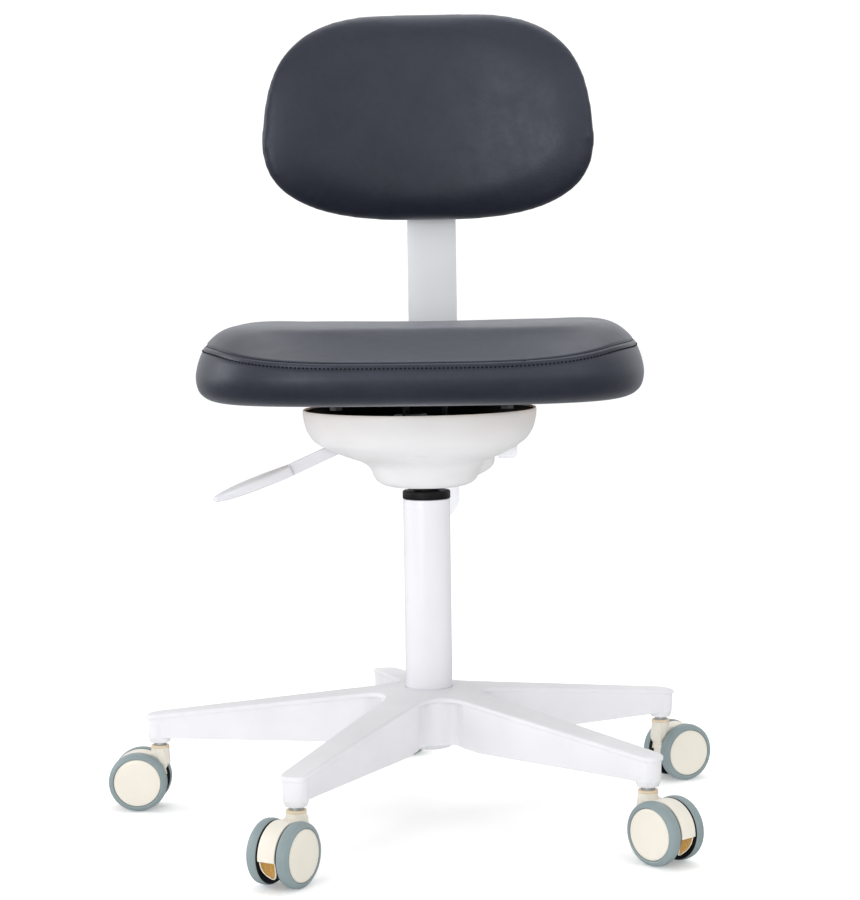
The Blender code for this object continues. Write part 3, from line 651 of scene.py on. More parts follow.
def make_base():
    ceiling = HUB_TOP_Z - ARM_WALL + 0.001
    socket = rounded_path(
        (
            (COLUMN_RADIUS + GAP, ceiling), (COLUMN_RADIUS + GAP, HUB_BOTTOM_Z, 0.0008),
            (SOCKET_RADIUS, HUB_BOTTOM_Z, 0.0010), (SOCKET_RADIUS, ceiling),
        )
    )
    details = turned(socket, 72)
    ribs = bmesh.new()
    boss = rounded_path(
        (
            (0.0054, 0.0995), (0.0054, 0.0731, 0.0004), (0.0106, 0.0731, 0.0010),
            (0.0126, 0.0792, 0.0030), (0.0126, 0.0995),
        )
    )
    quarter = Matrix.Rotation(math.pi / 2, 4, "Z")
    for k in range(ARM_COUNT):
        turn = Matrix.Rotation(ARM_STEP * k, 4, "Z")
        place = turn @ Matrix.Translation((STEM_CIRCLE, 0, 0))
        lathe_into(details, boss, 48, closed=True, matrix=place)
        for i in range(RIB_COUNT):
            at = RIB_START + RIB_STEP * i
            half = (0.0135 - 0.0012 * i) * 1.27
            roof = ceiling_z(at, 0) + 0.001
            for sign in (-1, 1):
                lean = Matrix.Rotation(sign * RIB_LEAN, 4, "Z")
                move = turn @ Matrix.Translation((at, 0, 0)) @ lean @ quarter
                slab_into(ribs, box(half, RIB_HALF), ARM_BOTTOM_Z + 0.004, roof, 0.0, move)
    for name, bm, nodes in (
        ("base_shell", make_star(), ("base_star",)),
        ("base_sockets", details, ()),
        ("base_ribs", ribs, ()),
    ):
        finish_mesh(name, bm, WHITE_CASTING, "base", "white_nylon", nodes, 32, AT_FIRST_ARM)


# Casters

DISC_PROFILE = rounded_path(
    (
        (0.0, 0.0250), (0.0120, 0.0249, 0.020), (0.0222, 0.0243, 0.010), (0.0255, 0.0235, 0.0007),
        (0.0257, 0.0120, 0.0010), (0.0240, 0.0107, 0.0010), (0.0110, 0.0107, 0.0008),
        (0.0100, 0.0130, 0.0008), (0.0043, 0.0130, 0.0004), (0.0043, 0.0215), (0.0, 0.0215),
    ),
    steps=5,
    closed=False,
)
TYRE_PROFILE = rounded_path(
    (
        (0.0259, 0.0239, 0.0003), (0.0276, 0.0245, 0.0012), (0.0314, 0.0214, 0.0026),
        (0.0320, 0.0165, 0.0060), (0.0316, 0.0118, 0.0030), (0.0290, 0.0110, 0.0015),
        (0.0259, 0.0112, 0.0006),
    ),
    steps=5,
)
LINER_PROFILE = rounded_path(
    (
        (0.0062, 0.0103, 0.0003), (0.0270, 0.0103, 0.0004), (0.0302, 0.0106, 0.0003),
        (0.0309, 0.0116, 0.0002), (0.0290, 0.0122), (0.0062, 0.0118),
    ),
    steps=3,
)
COLLAR_PROFILE = rounded_path(
    (
        (0.0070, 0.0697, 0.0003), (0.0099, 0.0697, 0.0008), (0.0099, 0.0669, 0.0003),
        (0.0070, 0.0669, 0.0003),
    ),
    steps=3,
)
SHANK_PROFILE = rounded_path(
    (
        (0.0, 0.0995), (0.0048, 0.0995, 0.0006), (0.0050, 0.0730), (0.0067, 0.0728, 0.0004),
        (0.0067, 0.0688, 0.0003), (0.0042, 0.0686), (0.0042, 0.0505, 0.0006), (0.0, 0.0505),
    ),
    closed=False,
)
# Each turned part of a wheel: piece, profile, sides, whether closed, material, slot, CAD node
WHEEL_PARTS = (
    ("disc", DISC_PROFILE, WHEEL_SIDES, False, IVORY, "ivory_plastic", "wheel"),
    ("tread", TYRE_PROFILE, WHEEL_SIDES, True, TYRE, "grey_tyre", "tyre"),
    ("liner", LINER_PROFILE, 72, True, BLACK_PLASTIC, "black_plastic", ""),
)
CASTER_TRAIL = 0.0225
AXLE = (CASTER_TRAIL, WHEEL_RADIUS)
HOOD_END = -5
TONGUE_END = -49
TONGUE_RADIUS = 0.0276
TONGUE_HALF = 0.0088
TONGUE_TOP = HOOD_END + 3


def hood_bm():
    """The caster's body seen from the side: a curved hood over the wheels, open below its front."""
    outline = arc(AXLE, 0.0310, HOOD_END, 112, 28)
    neck = (
        (0.0098, 0.0668, 0.002), (-0.0060, 0.0650, 0.003), (-0.0085, 0.0460, 0.012),
        (0.0020, 0.0345, 0.004),
    )
    outline += rounded_path(neck, closed=False)[1:]
    outline += arc(AXLE, 0.0268, 172, 118, 8)
    outline += arc(AXLE, 0.0282, 112, HOOD_END, 26)
    bm = bmesh.new()
    slab_into(bm, outline, -0.0098, 0.0098, 0.0011, ALONG_Y)
    core = arc(AXLE, 0.0265, 100, 190, 12) + [(0.0145, 0.0300), (0.0200, 0.0400)]
    slab_into(bm, core, -0.0085, 0.0085, 0.0006, ALONG_Y)
    barrel = rounded_path(
        (
            (0.0060, 0.0500), (0.0108, 0.0500), (0.0101, 0.0600, 0.010), (0.0099, 0.0668, 0.0003),
            (0.0060, 0.0668),
        )
    )
    lathe_into(bm, barrel, 64, closed=True)
    return bm


def tongue_point(share, across, lift):
    """A point on the curved tongue under the hood: share down it, across it, and lift outward."""
    angle = math.radians(TONGUE_TOP + (TONGUE_END - TONGUE_TOP) * share)
    half = TONGUE_HALF * (1 - share**2.8 * 0.86)
    x = AXLE[0] + (TONGUE_RADIUS + lift) * math.cos(angle)
    z = AXLE[1] + (TONGUE_RADIUS + lift) * math.sin(angle)
    return Vector((x, across * half, z))


def tongue_bm():
    """The ribbed tongue between the wheels, below the front of the hood."""
    down = 28
    wide = 32
    points = []
    layers = []
    for floor_lift, wave in ((0.0, 0.00045), (-0.0022, 0.0)):
        rows = []
        for i in range(down + 1):
            row = []
            for j in range(wide + 1):
                across = -1 + 2 * j / wide
                ridge = wave * math.cos(across * 4.5 * math.pi)
                row.append(len(points))
                points.append(tongue_point(i / down, across, floor_lift + ridge))
            rows.append(row)
        layers.append(rows)
    faces = []
    borders = []
    for rows in layers:
        faces += strips(rows, closed=False)
        left = [row[0] for row in rows]
        right = [row[-1] for row in rows[-2::-1]]
        borders.append(left + rows[-1][1:] + right + rows[0][-2:0:-1])
    faces += strip(*borders)
    bm = bmesh.new()
    faces_into(bm, points, faces)
    return bm


def tube_into(bm, path, radius, around=10):
    """A round bead along an open path."""
    rings = []
    for i, place in enumerate(path):
        along = (path[min(i + 1, len(path) - 1)] - path[max(i - 1, 0)]).normalized()
        side = along.cross(Vector((0, 0.3, 1))).normalized()
        lift = side.cross(along).normalized()
        ring = []
        for angle in circle(around):
            ring.append(place + (side * math.cos(angle) + lift * math.sin(angle)) * radius)
        rings.append(ring)
    rod_into(bm, rings)


def tongue_edge_bm():
    """The bead round the tongue's sides and lower end."""
    steps = 24
    path = [tongue_point(i / steps, -1, 0) for i in range(steps)]
    path += [tongue_point(1, -1 + 2 * i / 10, 0) for i in range(11)]
    path += [tongue_point(1 - (i + 1) / steps, 1, 0) for i in range(steps)]
    bm = bmesh.new()
    tube_into(bm, path, 0.0008)
    return bm


def shade_block_bm():
    """A black block round the axle, behind the tongue, put in for the shade between the wheels:
    painted shade.
    """
    bm = bmesh.new()
    outline = arc(AXLE, 0.0248, -128, 2, 30) + arc(AXLE, 0.0072, 2, -128, 12)
    slab_into(bm, outline, -0.0090, 0.0090, 0.0008, ALONG_Y)
    return bm


def make_casters():
    axle_place = Matrix.Translation((CASTER_TRAIL, 0, WHEEL_RADIUS))
    flips = {"left": Matrix.Identity(4), "right": Matrix.Rotation(math.pi, 4, "Z")}
    wheels = []
    for side, flip in flips.items():
        for part, profile, sides, closed, material, slot, node in WHEEL_PARTS:
            bm = turned(profile, sides, closed)
            mesh = shaded(mesh_of(part, bm, axle_place @ flip @ TO_REAR), material)
            wheels.append((side, part, mesh, slot, node))
    fork = [
        ("hood", hood_bm(), IVORY, 34, "ivory_plastic"),
        ("tongue", tongue_bm(), AMBER_SHADE_AND_GLOW, 50, "ivory_plastic"),
        ("tongue_edge", tongue_edge_bm(), IVORY, 50, "ivory_plastic"),
        # The core piece is black to stand in for the shade under the hood: painted shade.
        ("core", shade_block_bm(), BLACK_PLASTIC, 34, "black_plastic"),
        ("ring", turned(COLLAR_PROFILE, 48), BARREL_SHADE_TINT, 38, "ivory_plastic"),
    ]
    fork = [
        (part, shaded(mesh_of(part, bm), material, smooth), slot)
        for part, bm, material, smooth, slot in fork
    ]
    stem = shaded(mesh_of("stem", turned(SHANK_PROFILE, 32, closed=False)), ZINC)
    for k in range(1, ARM_COUNT + 1):
        name = f"caster_{k}"
        swivel = Vector(JOINTS[f"{name}_swivel"]["pos_m"])
        axle = Vector(JOINTS[f"{name}_left_roll"]["pos_m"])
        trail = math.atan2(axle.y - swivel.y, axle.x - swivel.x)
        place = Matrix.Translation((swivel.x, swivel.y, 0)) @ Matrix.Rotation(trail, 4, "Z")
        add_piece(f"{name}_shank", stem, "base", "zinc_steel", (f"{name}_stem",), place)
        for part, mesh, slot in fork:
            nodes = (f"{name}_housing",) if part == "hood" else ()
            add_piece(f"{name}_{part}", mesh, f"{name}_fork", slot, nodes, place)
        for side, part, mesh, slot, node in wheels:
            nodes = (f"{name}_{node}_{side[0]}",) if node else ()
            add_piece(f"{name}_{part}_{side}", mesh, f"{name}_{side}", slot, nodes, place)
        dress(ZINC, f"{name}_axle")


# Column


def add_turned(name, profile, material, body, slot, node, sides=96):
    finish_mesh(name, turned(profile, sides), material, body, slot, (node,), 34, AT_COLUMN)


def make_column():
    tube = rounded_path(
        (
            (0.0228, 0.3405, 0.0004), (COLUMN_RADIUS, 0.3405, 0.0012),
            (COLUMN_RADIUS, 0.0725, 0.0048), (0.0130, 0.0725, 0.0006), (0.0130, 0.0765),
            (0.0054, 0.0765), (0.0054, 0.0795), (0.0228, 0.0795),
        ),
        6,
    )
    add_turned("column_sleeve", tube, WHITE_TUBE, "base", "white_tube", "column_tube")
    bush = rounded_path(
        (
            (0.0144, 0.3494, 0.0006), (0.0255, 0.3494, 0.0020), (0.0255, 0.3408, 0.0006),
            (0.0225, 0.3408), (0.0225, 0.2800), (0.0144, 0.2800),
        )
    )
    add_turned("column_collar", bush, BLACK_PLASTIC, "base", "black_plastic", "column_bush")
    dress(POLISHED, "piston_rod")
    dress(ZINC, "rod_clip", "thrust_bearing", "valve_pin")
    cylinder = rounded_path(
        (
            (0.0033, 0.4040), (0.0132, 0.4040, 0.0008), (0.0140, 0.3546, 0.0100),
            (0.0140, 0.0920, 0.0008), (0.0053, 0.0920), (0.0053, 0.1000), (0.0110, 0.1000),
            (0.0110, 0.3850), (0.0033, 0.3850),
        )
    )
    add_turned(
        "spring_cylinder", cylinder, BLACK_STEEL, "seat_frame", "black_steel", "gas_cylinder", 72
    )


# Cover and mechanism

COVER_CURVE = (
    (0.1236, 0.4370), (0.1243, 0.4350), (0.1240, 0.4300), (0.1228, 0.4230), (0.1208, 0.4162),
    (0.1178, 0.4102), (0.1130, 0.4040), (0.1075, 0.3998), (0.1010, 0.3958), (0.0930, 0.3918),
    (0.0850, 0.3882), (0.0765, 0.3850), (0.0690, 0.3822), (0.0635, 0.3790), (0.0600, 0.3755),
    (0.0578, 0.3710), (0.0562, 0.3668), (0.0545, 0.3632), (0.0518, 0.3598), (0.0480, 0.3572),
    (0.0430, 0.3552), (0.0370, 0.3541), (0.0300, 0.3537), (0.0225, 0.3536), (0.0150, 0.3537),
)
COVER_SHIFT = 0.006
COVER_BOWL_Z = 0.372
COVER_DISH_Z = 0.400
COVER_WALL = 0.0025
# Below this height the white cover's inside is given the black material: painted shade.
COVER_SHADE_Z = 0.4345
PIVOT = Vector(JOINTS["back_tilt"]["pos_m"]) - COLUMN
BOSS_END_X = 0.0750
BOSS_RADIUS = 0.0280
COVER_SIDES = 192


def smooth_curve(points, steps):
    """Points on a Catmull-Rom curve through the given ones."""
    ends = [points[0], *points, points[-1]]
    curve = []
    for i in range(1, len(ends) - 2):
        a, b, c, d = (Vector(p) for p in ends[i - 1 : i + 3])
        for step in range(steps):
            t = step / steps
            square = (2 * a - 5 * b + 4 * c - d) * t * t
            cube = (3 * b - a - 3 * c + d) * t**3
            curve.append(0.5 * (2 * b + (c - a) * t + square + cube))
    curve.append(Vector(points[-1]))
    return curve


def boss_reach(angle, z, radius, end):
    """How far from the column's axis the boss on the cover's side comes at one angle and height."""
    up = z - PIVOT.z
    best = 0.0
    for i in range(60):
        reach = 0.03 + 0.0009 * i
        x = reach * math.cos(angle)
        off = math.hypot(reach * math.sin(angle) - PIVOT.y, up)
        if off >= radius or x < 0:
            continue
        dome = end - 0.0220 * (off / radius) ** 3.2
        if x <= dome:
            best = reach
    return best


def cover_surface(offset):
    """Rings of the cover's outside, or of its inside when offset is the wall's thickness."""
    curve = smooth_curve(COVER_CURVE, 2)
    rings = []
    for i, point in enumerate(curve):
        before = curve[max(i - 1, 0)]
        after = curve[min(i + 1, len(curve) - 1)]
        along = (after - before).normalized()
        radius = point.x + along.y * offset
        z = point.y - along.x * offset
        rise = min(max((z - COVER_BOWL_Z) / (COVER_DISH_Z - COVER_BOWL_Z), 0), 1)
        ring = []
        for angle in circle(COVER_SIDES):
            far = radius
            if 0.352 < z < 0.418 and -0.3 < angle < 1.4:
                reach = boss_reach(angle, z, BOSS_RADIUS - offset, BOSS_END_X - offset)
                blend = 0.006
                gain = max(blend - abs(far - reach), 0) / blend
                far = max(far, reach) + gain * gain * blend / 4
            x = far * math.cos(angle) - COVER_SHIFT * rise
            ring.append(Vector((x, far * math.sin(angle), z)))
        rings.append(ring)
    return rings


def make_cover():
    bm = bmesh.new()
    loop_into(bm, cover_surface(0) + cover_surface(COVER_WALL)[::-1])
    mesh = mesh_of("cover", bm)
    knob = bmesh.new()
    to_x = Matrix.Translation((0, PIVOT.y, PIVOT.z)) @ ALONG_X
    for radius, low, high, sides in ((0.0107, 0.0764, 0.14, 64), (0.0058, 0.03, 0.078, 32)):
        lathe_into(knob, ((0, low), (radius, low), (radius, high), (0, high)), sides, matrix=to_x)
    slots = bmesh.new()
    rear_slot = ((-0.0215, 0.056), (0.0215, 0.056), (0.0215, 0.118), (-0.0215, 0.118))
    slab_into(slots, rear_slot, 0.362, 0.402)
    lever_slot = ((-0.100, -0.0060), (-0.045, -0.0060), (-0.045, 0.0060), (-0.100, 0.0060))
    slab_into(slots, lever_slot, -0.046, -0.006, 0, AT_COLUMN.inverted() @ LEVER_PLACE)
    for cutter in (knob, slots):
        tool = add_object("cutter", mesh_of("cutter", cutter))
        cut = {"operation": "DIFFERENCE", "solver": "MANIFOLD", "object": tool}
        mesh = modified(mesh, ("BOOLEAN", cut))
        bpy.data.objects.remove(tool)
    mesh.materials.clear()
    mesh.materials.append(WHITE_PLASTIC)
    mesh.materials.append(BLACK_PLASTIC)
    # Faces on the inside of the white cover, below the height set above, get the black material:
    # painted shade inside the cover.
    for face in mesh.polygons:
        outward = Vector((face.center.x, face.center.y, 0)).normalized()
        inner = face.normal.dot(outward) < -0.15 or face.normal.z > 0.3
        face.material_index = int(inner and face.center.z < COVER_SHADE_Z)
    mesh.transform(AT_COLUMN)
    shaded(mesh, WHITE_PLASTIC, 34)
    add_piece("cover_dish", mesh, "seat_frame", "white_plastic", ("mechanism_cover",))
    make_badge(mesh)


def make_badge(cover):
    """A plain lens-shaped plate on the front of the cover, following its surface."""
    surface = surface_of(cover)
    middle = COLUMN + Vector((-0.0060, -0.2, 0.3916))
    section = (
        (0.0, 0.0006), (0.5, 0.0006), (0.90, 0.0006),
        (0.97, 0.0004), (1.0, -0.0001), (1.0, -0.0010),
    )
    rings = []
    for share, lift in section:
        ring = []
        for angle in circle(40):
            across = 0.0115 * math.cos(angle)
            height = 0.0028 * math.sin(angle) * abs(math.sin(angle)) ** 0.3
            start = middle + Vector((across, 0, height)) * share
            place, normal, _, _ = surface.ray_cast(start, Vector((0, 1, 0)))
            ring.append(place + normal * lift)
        rings.append(ring)
    points, rows = numbered(rings)
    bm = bmesh.new()
    faces_into(bm, points, [tuple(rows[-1])] + strips(rows))
    finish_mesh("cover_badge", bm, BADGE, "seat_frame", "white_plastic", (), 34)


LEVER_JOINT = JOINTS["lever_lift"]
LEVER_AXIS = Vector(LEVER_JOINT["axis"])
LEVER_PLACE = Matrix.Translation(LEVER_JOINT["pos_m"]) @ Matrix.Rotation(
    math.atan2(-LEVER_AXIS.x, LEVER_AXIS.y), 4, "Z"
)
LEVER_HALF_HEIGHT = 0.0065
LEVER_HALF_THICKNESS = 0.0025
NECK_BEND_X = -0.0093
NECK_END = Vector((-0.1233, -0.0503))
HANDLE_TIP = Vector((-0.2053, -0.0803))
HANDLE_HALF_WIDTH = 0.0150
HANDLE_POWER = 0.62


def make_lever():
    along = HANDLE_TIP - NECK_END
    lean = math.atan2(-along.y, -along.x)
    side = Vector((-math.sin(lean), math.cos(lean))) * LEVER_HALF_HEIGHT
    outline = rounded_path(
        (
            (0.0225, -LEVER_HALF_HEIGHT, 0.001), (0.0225, LEVER_HALF_HEIGHT, 0.001),
            (NECK_BEND_X, LEVER_HALF_HEIGHT, 0.010), (*(NECK_END + side), 0.0),
            (*(NECK_END - side), 0.0), (NECK_BEND_X, -LEVER_HALF_HEIGHT, 0.012),
        ),
        6,
    )
    bm = bmesh.new()
    slab_into(bm, outline, -LEVER_HALF_THICKNESS, LEVER_HALF_THICKNESS, 0.0007, ALONG_Y)
    finish_mesh(
        "lever_bar", bm, DARKENED_WHITE_PAINT, "lever", "white_paint", ("height_lever",), 34, LEVER_PLACE
    )
    rings = []
    steps = 40
    for i in range(steps + 1):
        share = i / steps
        width = HANDLE_HALF_WIDTH * math.sin(math.pi * (0.13 + 0.80 * share)) ** 0.7
        thick = (0.0052 + 0.0052 * share) * math.sqrt(max(1 - share, 0)) + 0.0012
        if i == steps:
            width *= 0.55
            thick *= 0.6
        ring = []
        for angle in circle(32):
            c, s = math.cos(angle), math.sin(angle)
            y = width * math.copysign(abs(c) ** HANDLE_POWER, c)
            z = thick * math.copysign(abs(s) ** HANDLE_POWER, s)
            ring.append(Vector((-share * along.length - GAP, y, z)))
        rings.append(ring)
    bm = bmesh.new()
    rod_into(bm, rings)
    place = LEVER_PLACE @ Matrix.Translation((NECK_END.x, 0, NECK_END.y))
    place = place @ Matrix.Rotation(-lean, 4, "Y")
    finish_mesh(
        "lever_paddle", bm, DARKENED_WHITE_PAINT, "lever", "white_plastic", ("lever_handle",), 60, place
    )


def make_mechanism():
    dress(BLACK_STEEL, "mechanism_body")
    dress(ZINC, "bracket_pivot_pin")
    dress(DARK_ZINC, *[f"seat_bolt_{k}" for k in range(1, 5)])
    dress(PLYWOOD, "seat_board")
    knob = rounded_path(
        (
            (0.0, 0.0970), (0.0058, 0.0970, 0.0020), (0.0092, 0.0925, 0.0030),
            (0.0092, 0.0770, 0.0008), (0.0053, 0.0770), (0.0053, 0.0930), (0.0, 0.0930),
        ),
        5,
        closed=False,
    )
    bm = turned(knob, 64, closed=False)
    place = AT_COLUMN @ Matrix.Translation((0, PIVOT.y, PIVOT.z)) @ ALONG_X
    finish_mesh(
        "tilt_cap", bm, LIGHTENED_WHITE_PAINT, "tilt_lock", "white_plastic", ("tilt_knob",), 34, place
    )


# Upholstery


def square_path(count):
    """Directions round the unit square's edge, count to a side, from its lower left corner."""
    ahead = [-1 + 2 * i / count for i in range(count)]
    back = [1 - 2 * i / count for i in range(count)]
    sides = [(t, -1.0) for t in ahead]
    sides += [(1.0, t) for t in ahead]
    sides += [(t, 1.0) for t in back]
    sides += [(-1.0, t) for t in back]
    return sides


def eased(t):
    return 1.5 * t - 0.5 * t**3


def on_superellipse(u, v, power):
    """The point of the square at (u, v), drawn in so that the square becomes a superellipse."""
    longest = max(abs(u), abs(v))
    if longest == 0:
        return 0.0, 0.0
    shrink = longest / (abs(u) ** power + abs(v) ** power) ** (1 / power)
    return u * shrink, v * shrink


SEAT_SECTION = (
    (0.4780, 0.0), (0.4845, 0.0010), (0.4925, 0.0028), (0.5010, 0.0064),
    (0.5050, 0.0080), (0.5095, 0.0110), (0.5135, 0.0145), (0.5180, 0.0196),
)
SEAT_WIDEST_Z = 0.478
SEAT_UNDER = (
    (0.4700, 0.0006), (0.4630, 0.0025), (0.4590, 0.0052), (0.4550, 0.0098), (0.4522, 0.0160),
    (SEAT_BOTTOM_Z, 0.0250), (SEAT_BOTTOM_Z, 0.0320), (SEAT_BOTTOM_Z, 0.0390),
)
# Rings under the seam: how far below it, and then the share of the way to the widest part
SEAT_RINGS = ((0.0016, 0), (0.0034, 0), (0.0056, 0), (0.0056, 0.33), (0.0056, 0.66), (0.0056, 1))
SEAM_FRONT_Z = 0.4955
SEAM_SIDE_Z = 0.5100
SEAM_SLOPE = 0.267
SEAM_BLEND = 0.006
SCOOP_DEPTH = 0.0098
FRONT_FALL = 0.009
SHOULDER_SIDE = 0.062
SHOULDER_FRONT = 0.120
SHOULDER_REAR = 0.075
SHOULDER_POWER = 3.8
FRONT_POWER = 1.3
GRID = 40


def section_inset(z):
    """How far the seat's side leans in at a height."""
    for (low_z, low), (high_z, high) in zip(SEAT_SECTION, SEAT_SECTION[1:]):
        if z <= high_z:
            return low + (high - low) * max(z - low_z, 0) / (high_z - low_z)
    return SEAT_SECTION[-1][1]


def seam_z(y):
    """The seam rises from the middle of the front toward the sides, where it levels off."""
    gap = SEAM_SIDE_Z - (SEAM_FRONT_Z + SEAM_SLOPE * (y + SEAT_HALF[1]))
    return SEAM_SIDE_Z - 0.5 * (gap + math.hypot(gap, SEAM_BLEND))


def crown_z(x, y):
    """The seat's top away from its edges: a shallow scoop that falls at the front."""
    u = min(abs(x) / SEAT_HALF[0], 1)
    v = min(max(y / SEAT_HALF[1], -1), 1)
    front = max(-v - 0.25, 0) / 0.75
    scoop = SCOOP_DEPTH * (1 - u * u) * (1 - 0.55 * v * v)
    return SEAT_TOP_Z - scoop - FRONT_FALL * front * front


def seat_rim(u, v, inset):
    """A point of the seat's plan on its edge, drawn in by inset."""
    x, y = on_superellipse(u, v, SEAT_POWER)
    return x * (SEAT_HALF[0] - inset), y * (SEAT_HALF[1] - inset)


def seat_top(u, v):
    """A point of the seat's top, in the square that its plan comes from."""
    x, y = on_superellipse(u, v, SEAT_POWER)
    level = max(abs(u), abs(v), 1e-6)
    edge_y = y / level * SEAT_HALF[1]
    low = seam_z(edge_y)
    inset = section_inset(low)
    slope_x = (abs(x) / level) ** (SEAT_POWER - 1) / SEAT_HALF[0]
    slope_y = (abs(y) / level) ** (SEAT_POWER - 1) / SEAT_HALF[1]
    steep = math.hypot(slope_x, slope_y)
    rise = 1.0
    if steep > 0:
        along = SHOULDER_FRONT if y < 0 else SHOULDER_REAR
        shoulder = SHOULDER_SIDE * (slope_x / steep) ** 2 + along * (slope_y / steep) ** 2
        power = SHOULDER_POWER
        if y < 0:
            power += (FRONT_POWER - SHOULDER_POWER) * (slope_y / steep) ** 2
        rise = 1 - max(1 - (1 - level) / steep / shoulder, 0) ** power
    x *= SEAT_HALF[0] - inset
    y *= SEAT_HALF[1] - inset
    return x, y, low + (crown_z(x, y) - low) * rise


def square_grid(count, add):
    """A square grid of point numbers from add(u, v): all of them, the quads and the rim."""
    grid = {}
    quads = []
    for i in range(count + 1):
        for j in range(count + 1):
            grid[i, j] = add(eased(-1 + 2 * i / count), eased(-1 + 2 * j / count))
    for i in range(count):
        for j in range(count):
            quads.append((grid[i, j], grid[i + 1, j], grid[i + 1, j + 1], grid[i, j + 1]))
    rim = []
    for u, v in square_path(count):
        rim.append(grid[round((u + 1) * count / 2), round((v + 1) * count / 2)])
    return set(grid.values()), quads, rim


def seat_rows():
    """The seat's mesh as points and faces, with the rings that the seams follow."""
    points = []
    edge = [(eased(u), eased(v)) for u, v in square_path(GRID)]

    def add(x, y, z):
        points.append(Vector((x - SEAT_SHIFT, y, z)))
        return len(points) - 1

    def add_board(u, v, z):
        x, y = on_superellipse(u, v, BOARD_POWER)
        return add(x * BOARD_HALF[0] + SEAT_SHIFT, y * BOARD_HALF[1], z)

    top, faces, rim = square_grid(GRID, lambda u, v: add(*seat_top(u, v)))
    rings = [rim]
    for below, share in SEAT_RINGS:
        ring = []
        for u, v in edge:
            seam = seam_z(on_superellipse(u, v, SEAT_POWER)[1] * SEAT_HALF[1]) - below
            z = seam + (SEAT_WIDEST_Z - seam) * share
            ring.append(add(*seat_rim(u, v, section_inset(z)), z))
        rings.append(ring)
    for z, inset in SEAT_UNDER:
        rings.append([add(*seat_rim(u, v, inset), z) for u, v in edge])
    for z in (SEAT_BOTTOM_Z, BOARD_TOP_Z):
        rings.append([add_board(u, v, z) for u, v in edge])
    faces += strips(rings)
    _, under, _ = square_grid(GRID, lambda u, v: add_board(u, v, BOARD_TOP_Z))
    faces += [(a, d, c, b) for a, b, c, d in under]
    free = top | {n for ring in rings[2:9] for n in ring}
    return points, faces, {"seam": rim, "stitch": rings[3], "free": free - set(rim)}


def closed_mesh(name, points, faces):
    bm = bmesh.new()
    faces_into(bm, points, faces)
    return mesh_of(name, bm)


def inflate(mesh, is_free, pressure, cap, reach=0.0, frames=20):
    """Puffs a closed mesh up as cloth over stuffing. Only the points for which is_free holds move.

    None moves by more than cap, and less than that within reach of the points that are held.
    """
    start = [v.co.copy() for v in mesh.vertices]
    holder = add_object(mesh.name + "_sim", mesh)
    pinned = holder.vertex_groups.new(name="pinned")
    held = [number for number, place in enumerate(start) if not is_free(place)]
    pinned.add(held, 1.0, "REPLACE")
    cloth = holder.modifiers.new("Cloth", "CLOTH")
    settings = cloth.settings
    settings.quality = 6
    settings.mass = 0.3
    settings.tension_stiffness = 12
    settings.compression_stiffness = 12
    settings.shear_stiffness = 6
    settings.bending_stiffness = 2
    settings.use_pressure = True
    settings.uniform_pressure_force = pressure
    settings.vertex_group_mass = "pinned"
    settings.effector_weights.gravity = 0
    cloth.collision_settings.use_self_collision = False
    scene = bpy.context.scene
    for step in range(1, frames + 1):
        scene.frame_set(step)
    graph = bpy.context.evaluated_depsgraph_get()
    result = bpy.data.meshes.new_from_object(holder.evaluated_get(graph))
    scene.frame_set(1)
    bpy.data.objects.remove(holder)
    still = KDTree(len(held))
    for number in held:
        still.insert(start[number], number)
    still.balance()
    moves = []
    for vertex in result.vertices:
        place = start[vertex.index]
        limit = cap * min(still.find(place)[2] / reach, 1) if reach else cap
        move = vertex.co - place
        moves.append(move.normalized() * limit if move.length > limit else move)
    for vertex, move in zip(result.vertices, settled(result, moves, set(held))):
        vertex.co = start[vertex.index] + move
    return result


def settled(mesh, moves, held, rounds=24):
    """The moves of a mesh's points, evened out between neighbours so that no dents are left."""
    near = [[] for _ in moves]
    for edge in mesh.edges:
        first, second = edge.vertices
        near[first].append(second)
        near[second].append(first)
    for _ in range(rounds):
        evened = []
        for n, move in enumerate(moves):
            total = move + sum((moves[k] for k in near[n]), Vector())
            evened.append(Vector() if n in held else total / (1 + len(near[n])))
        moves = evened
    return moves


def smooth_mesh(mesh, levels=1):
    return modified(mesh, ("SUBSURF", {"levels": levels, "render_levels": levels}))


# A stitch from end to end: share of its length, and its size and lift in radii
STITCH_SHAPE = (
    (0.0, 0.15, -1.1), (0.12, 0.75, -0.35), (0.3, 1.0, 0.05),
    (0.7, 1.0, 0.05), (0.88, 0.75, -0.35), (1.0, 0.15, -1.1),
)


def stitch_into(bm, start, end, radius, up):
    """A short thread from start to end, dipping at both ends."""
    axis = (end - start).normalized()
    side = axis.cross(up).normalized()
    rings = []
    for share, size, lift in STITCH_SHAPE:
        middle = start.lerp(end, share) + up * radius * lift
        spokes = [side * math.cos(angle) + up * math.sin(angle) for angle in circle(8)]
        rings.append([middle + spoke * radius * size for spoke in spokes])
    rod_into(bm, rings)


def resampled(path, spacing):
    """Evenly spaced points on a closed path."""
    closed = list(path) + [path[0]]
    lengths = [(b - a).length for a, b in zip(closed, closed[1:])]
    total = sum(lengths)
    count = round(total / spacing)
    places = []
    index = 0
    passed = 0.0
    for k in range(count):
        target = total * k / count
        while passed + lengths[index] < target:
            passed += lengths[index]
            index += 1
        share = (target - passed) / lengths[index]
        places.append(closed[index].lerp(closed[index + 1], share))
    return places


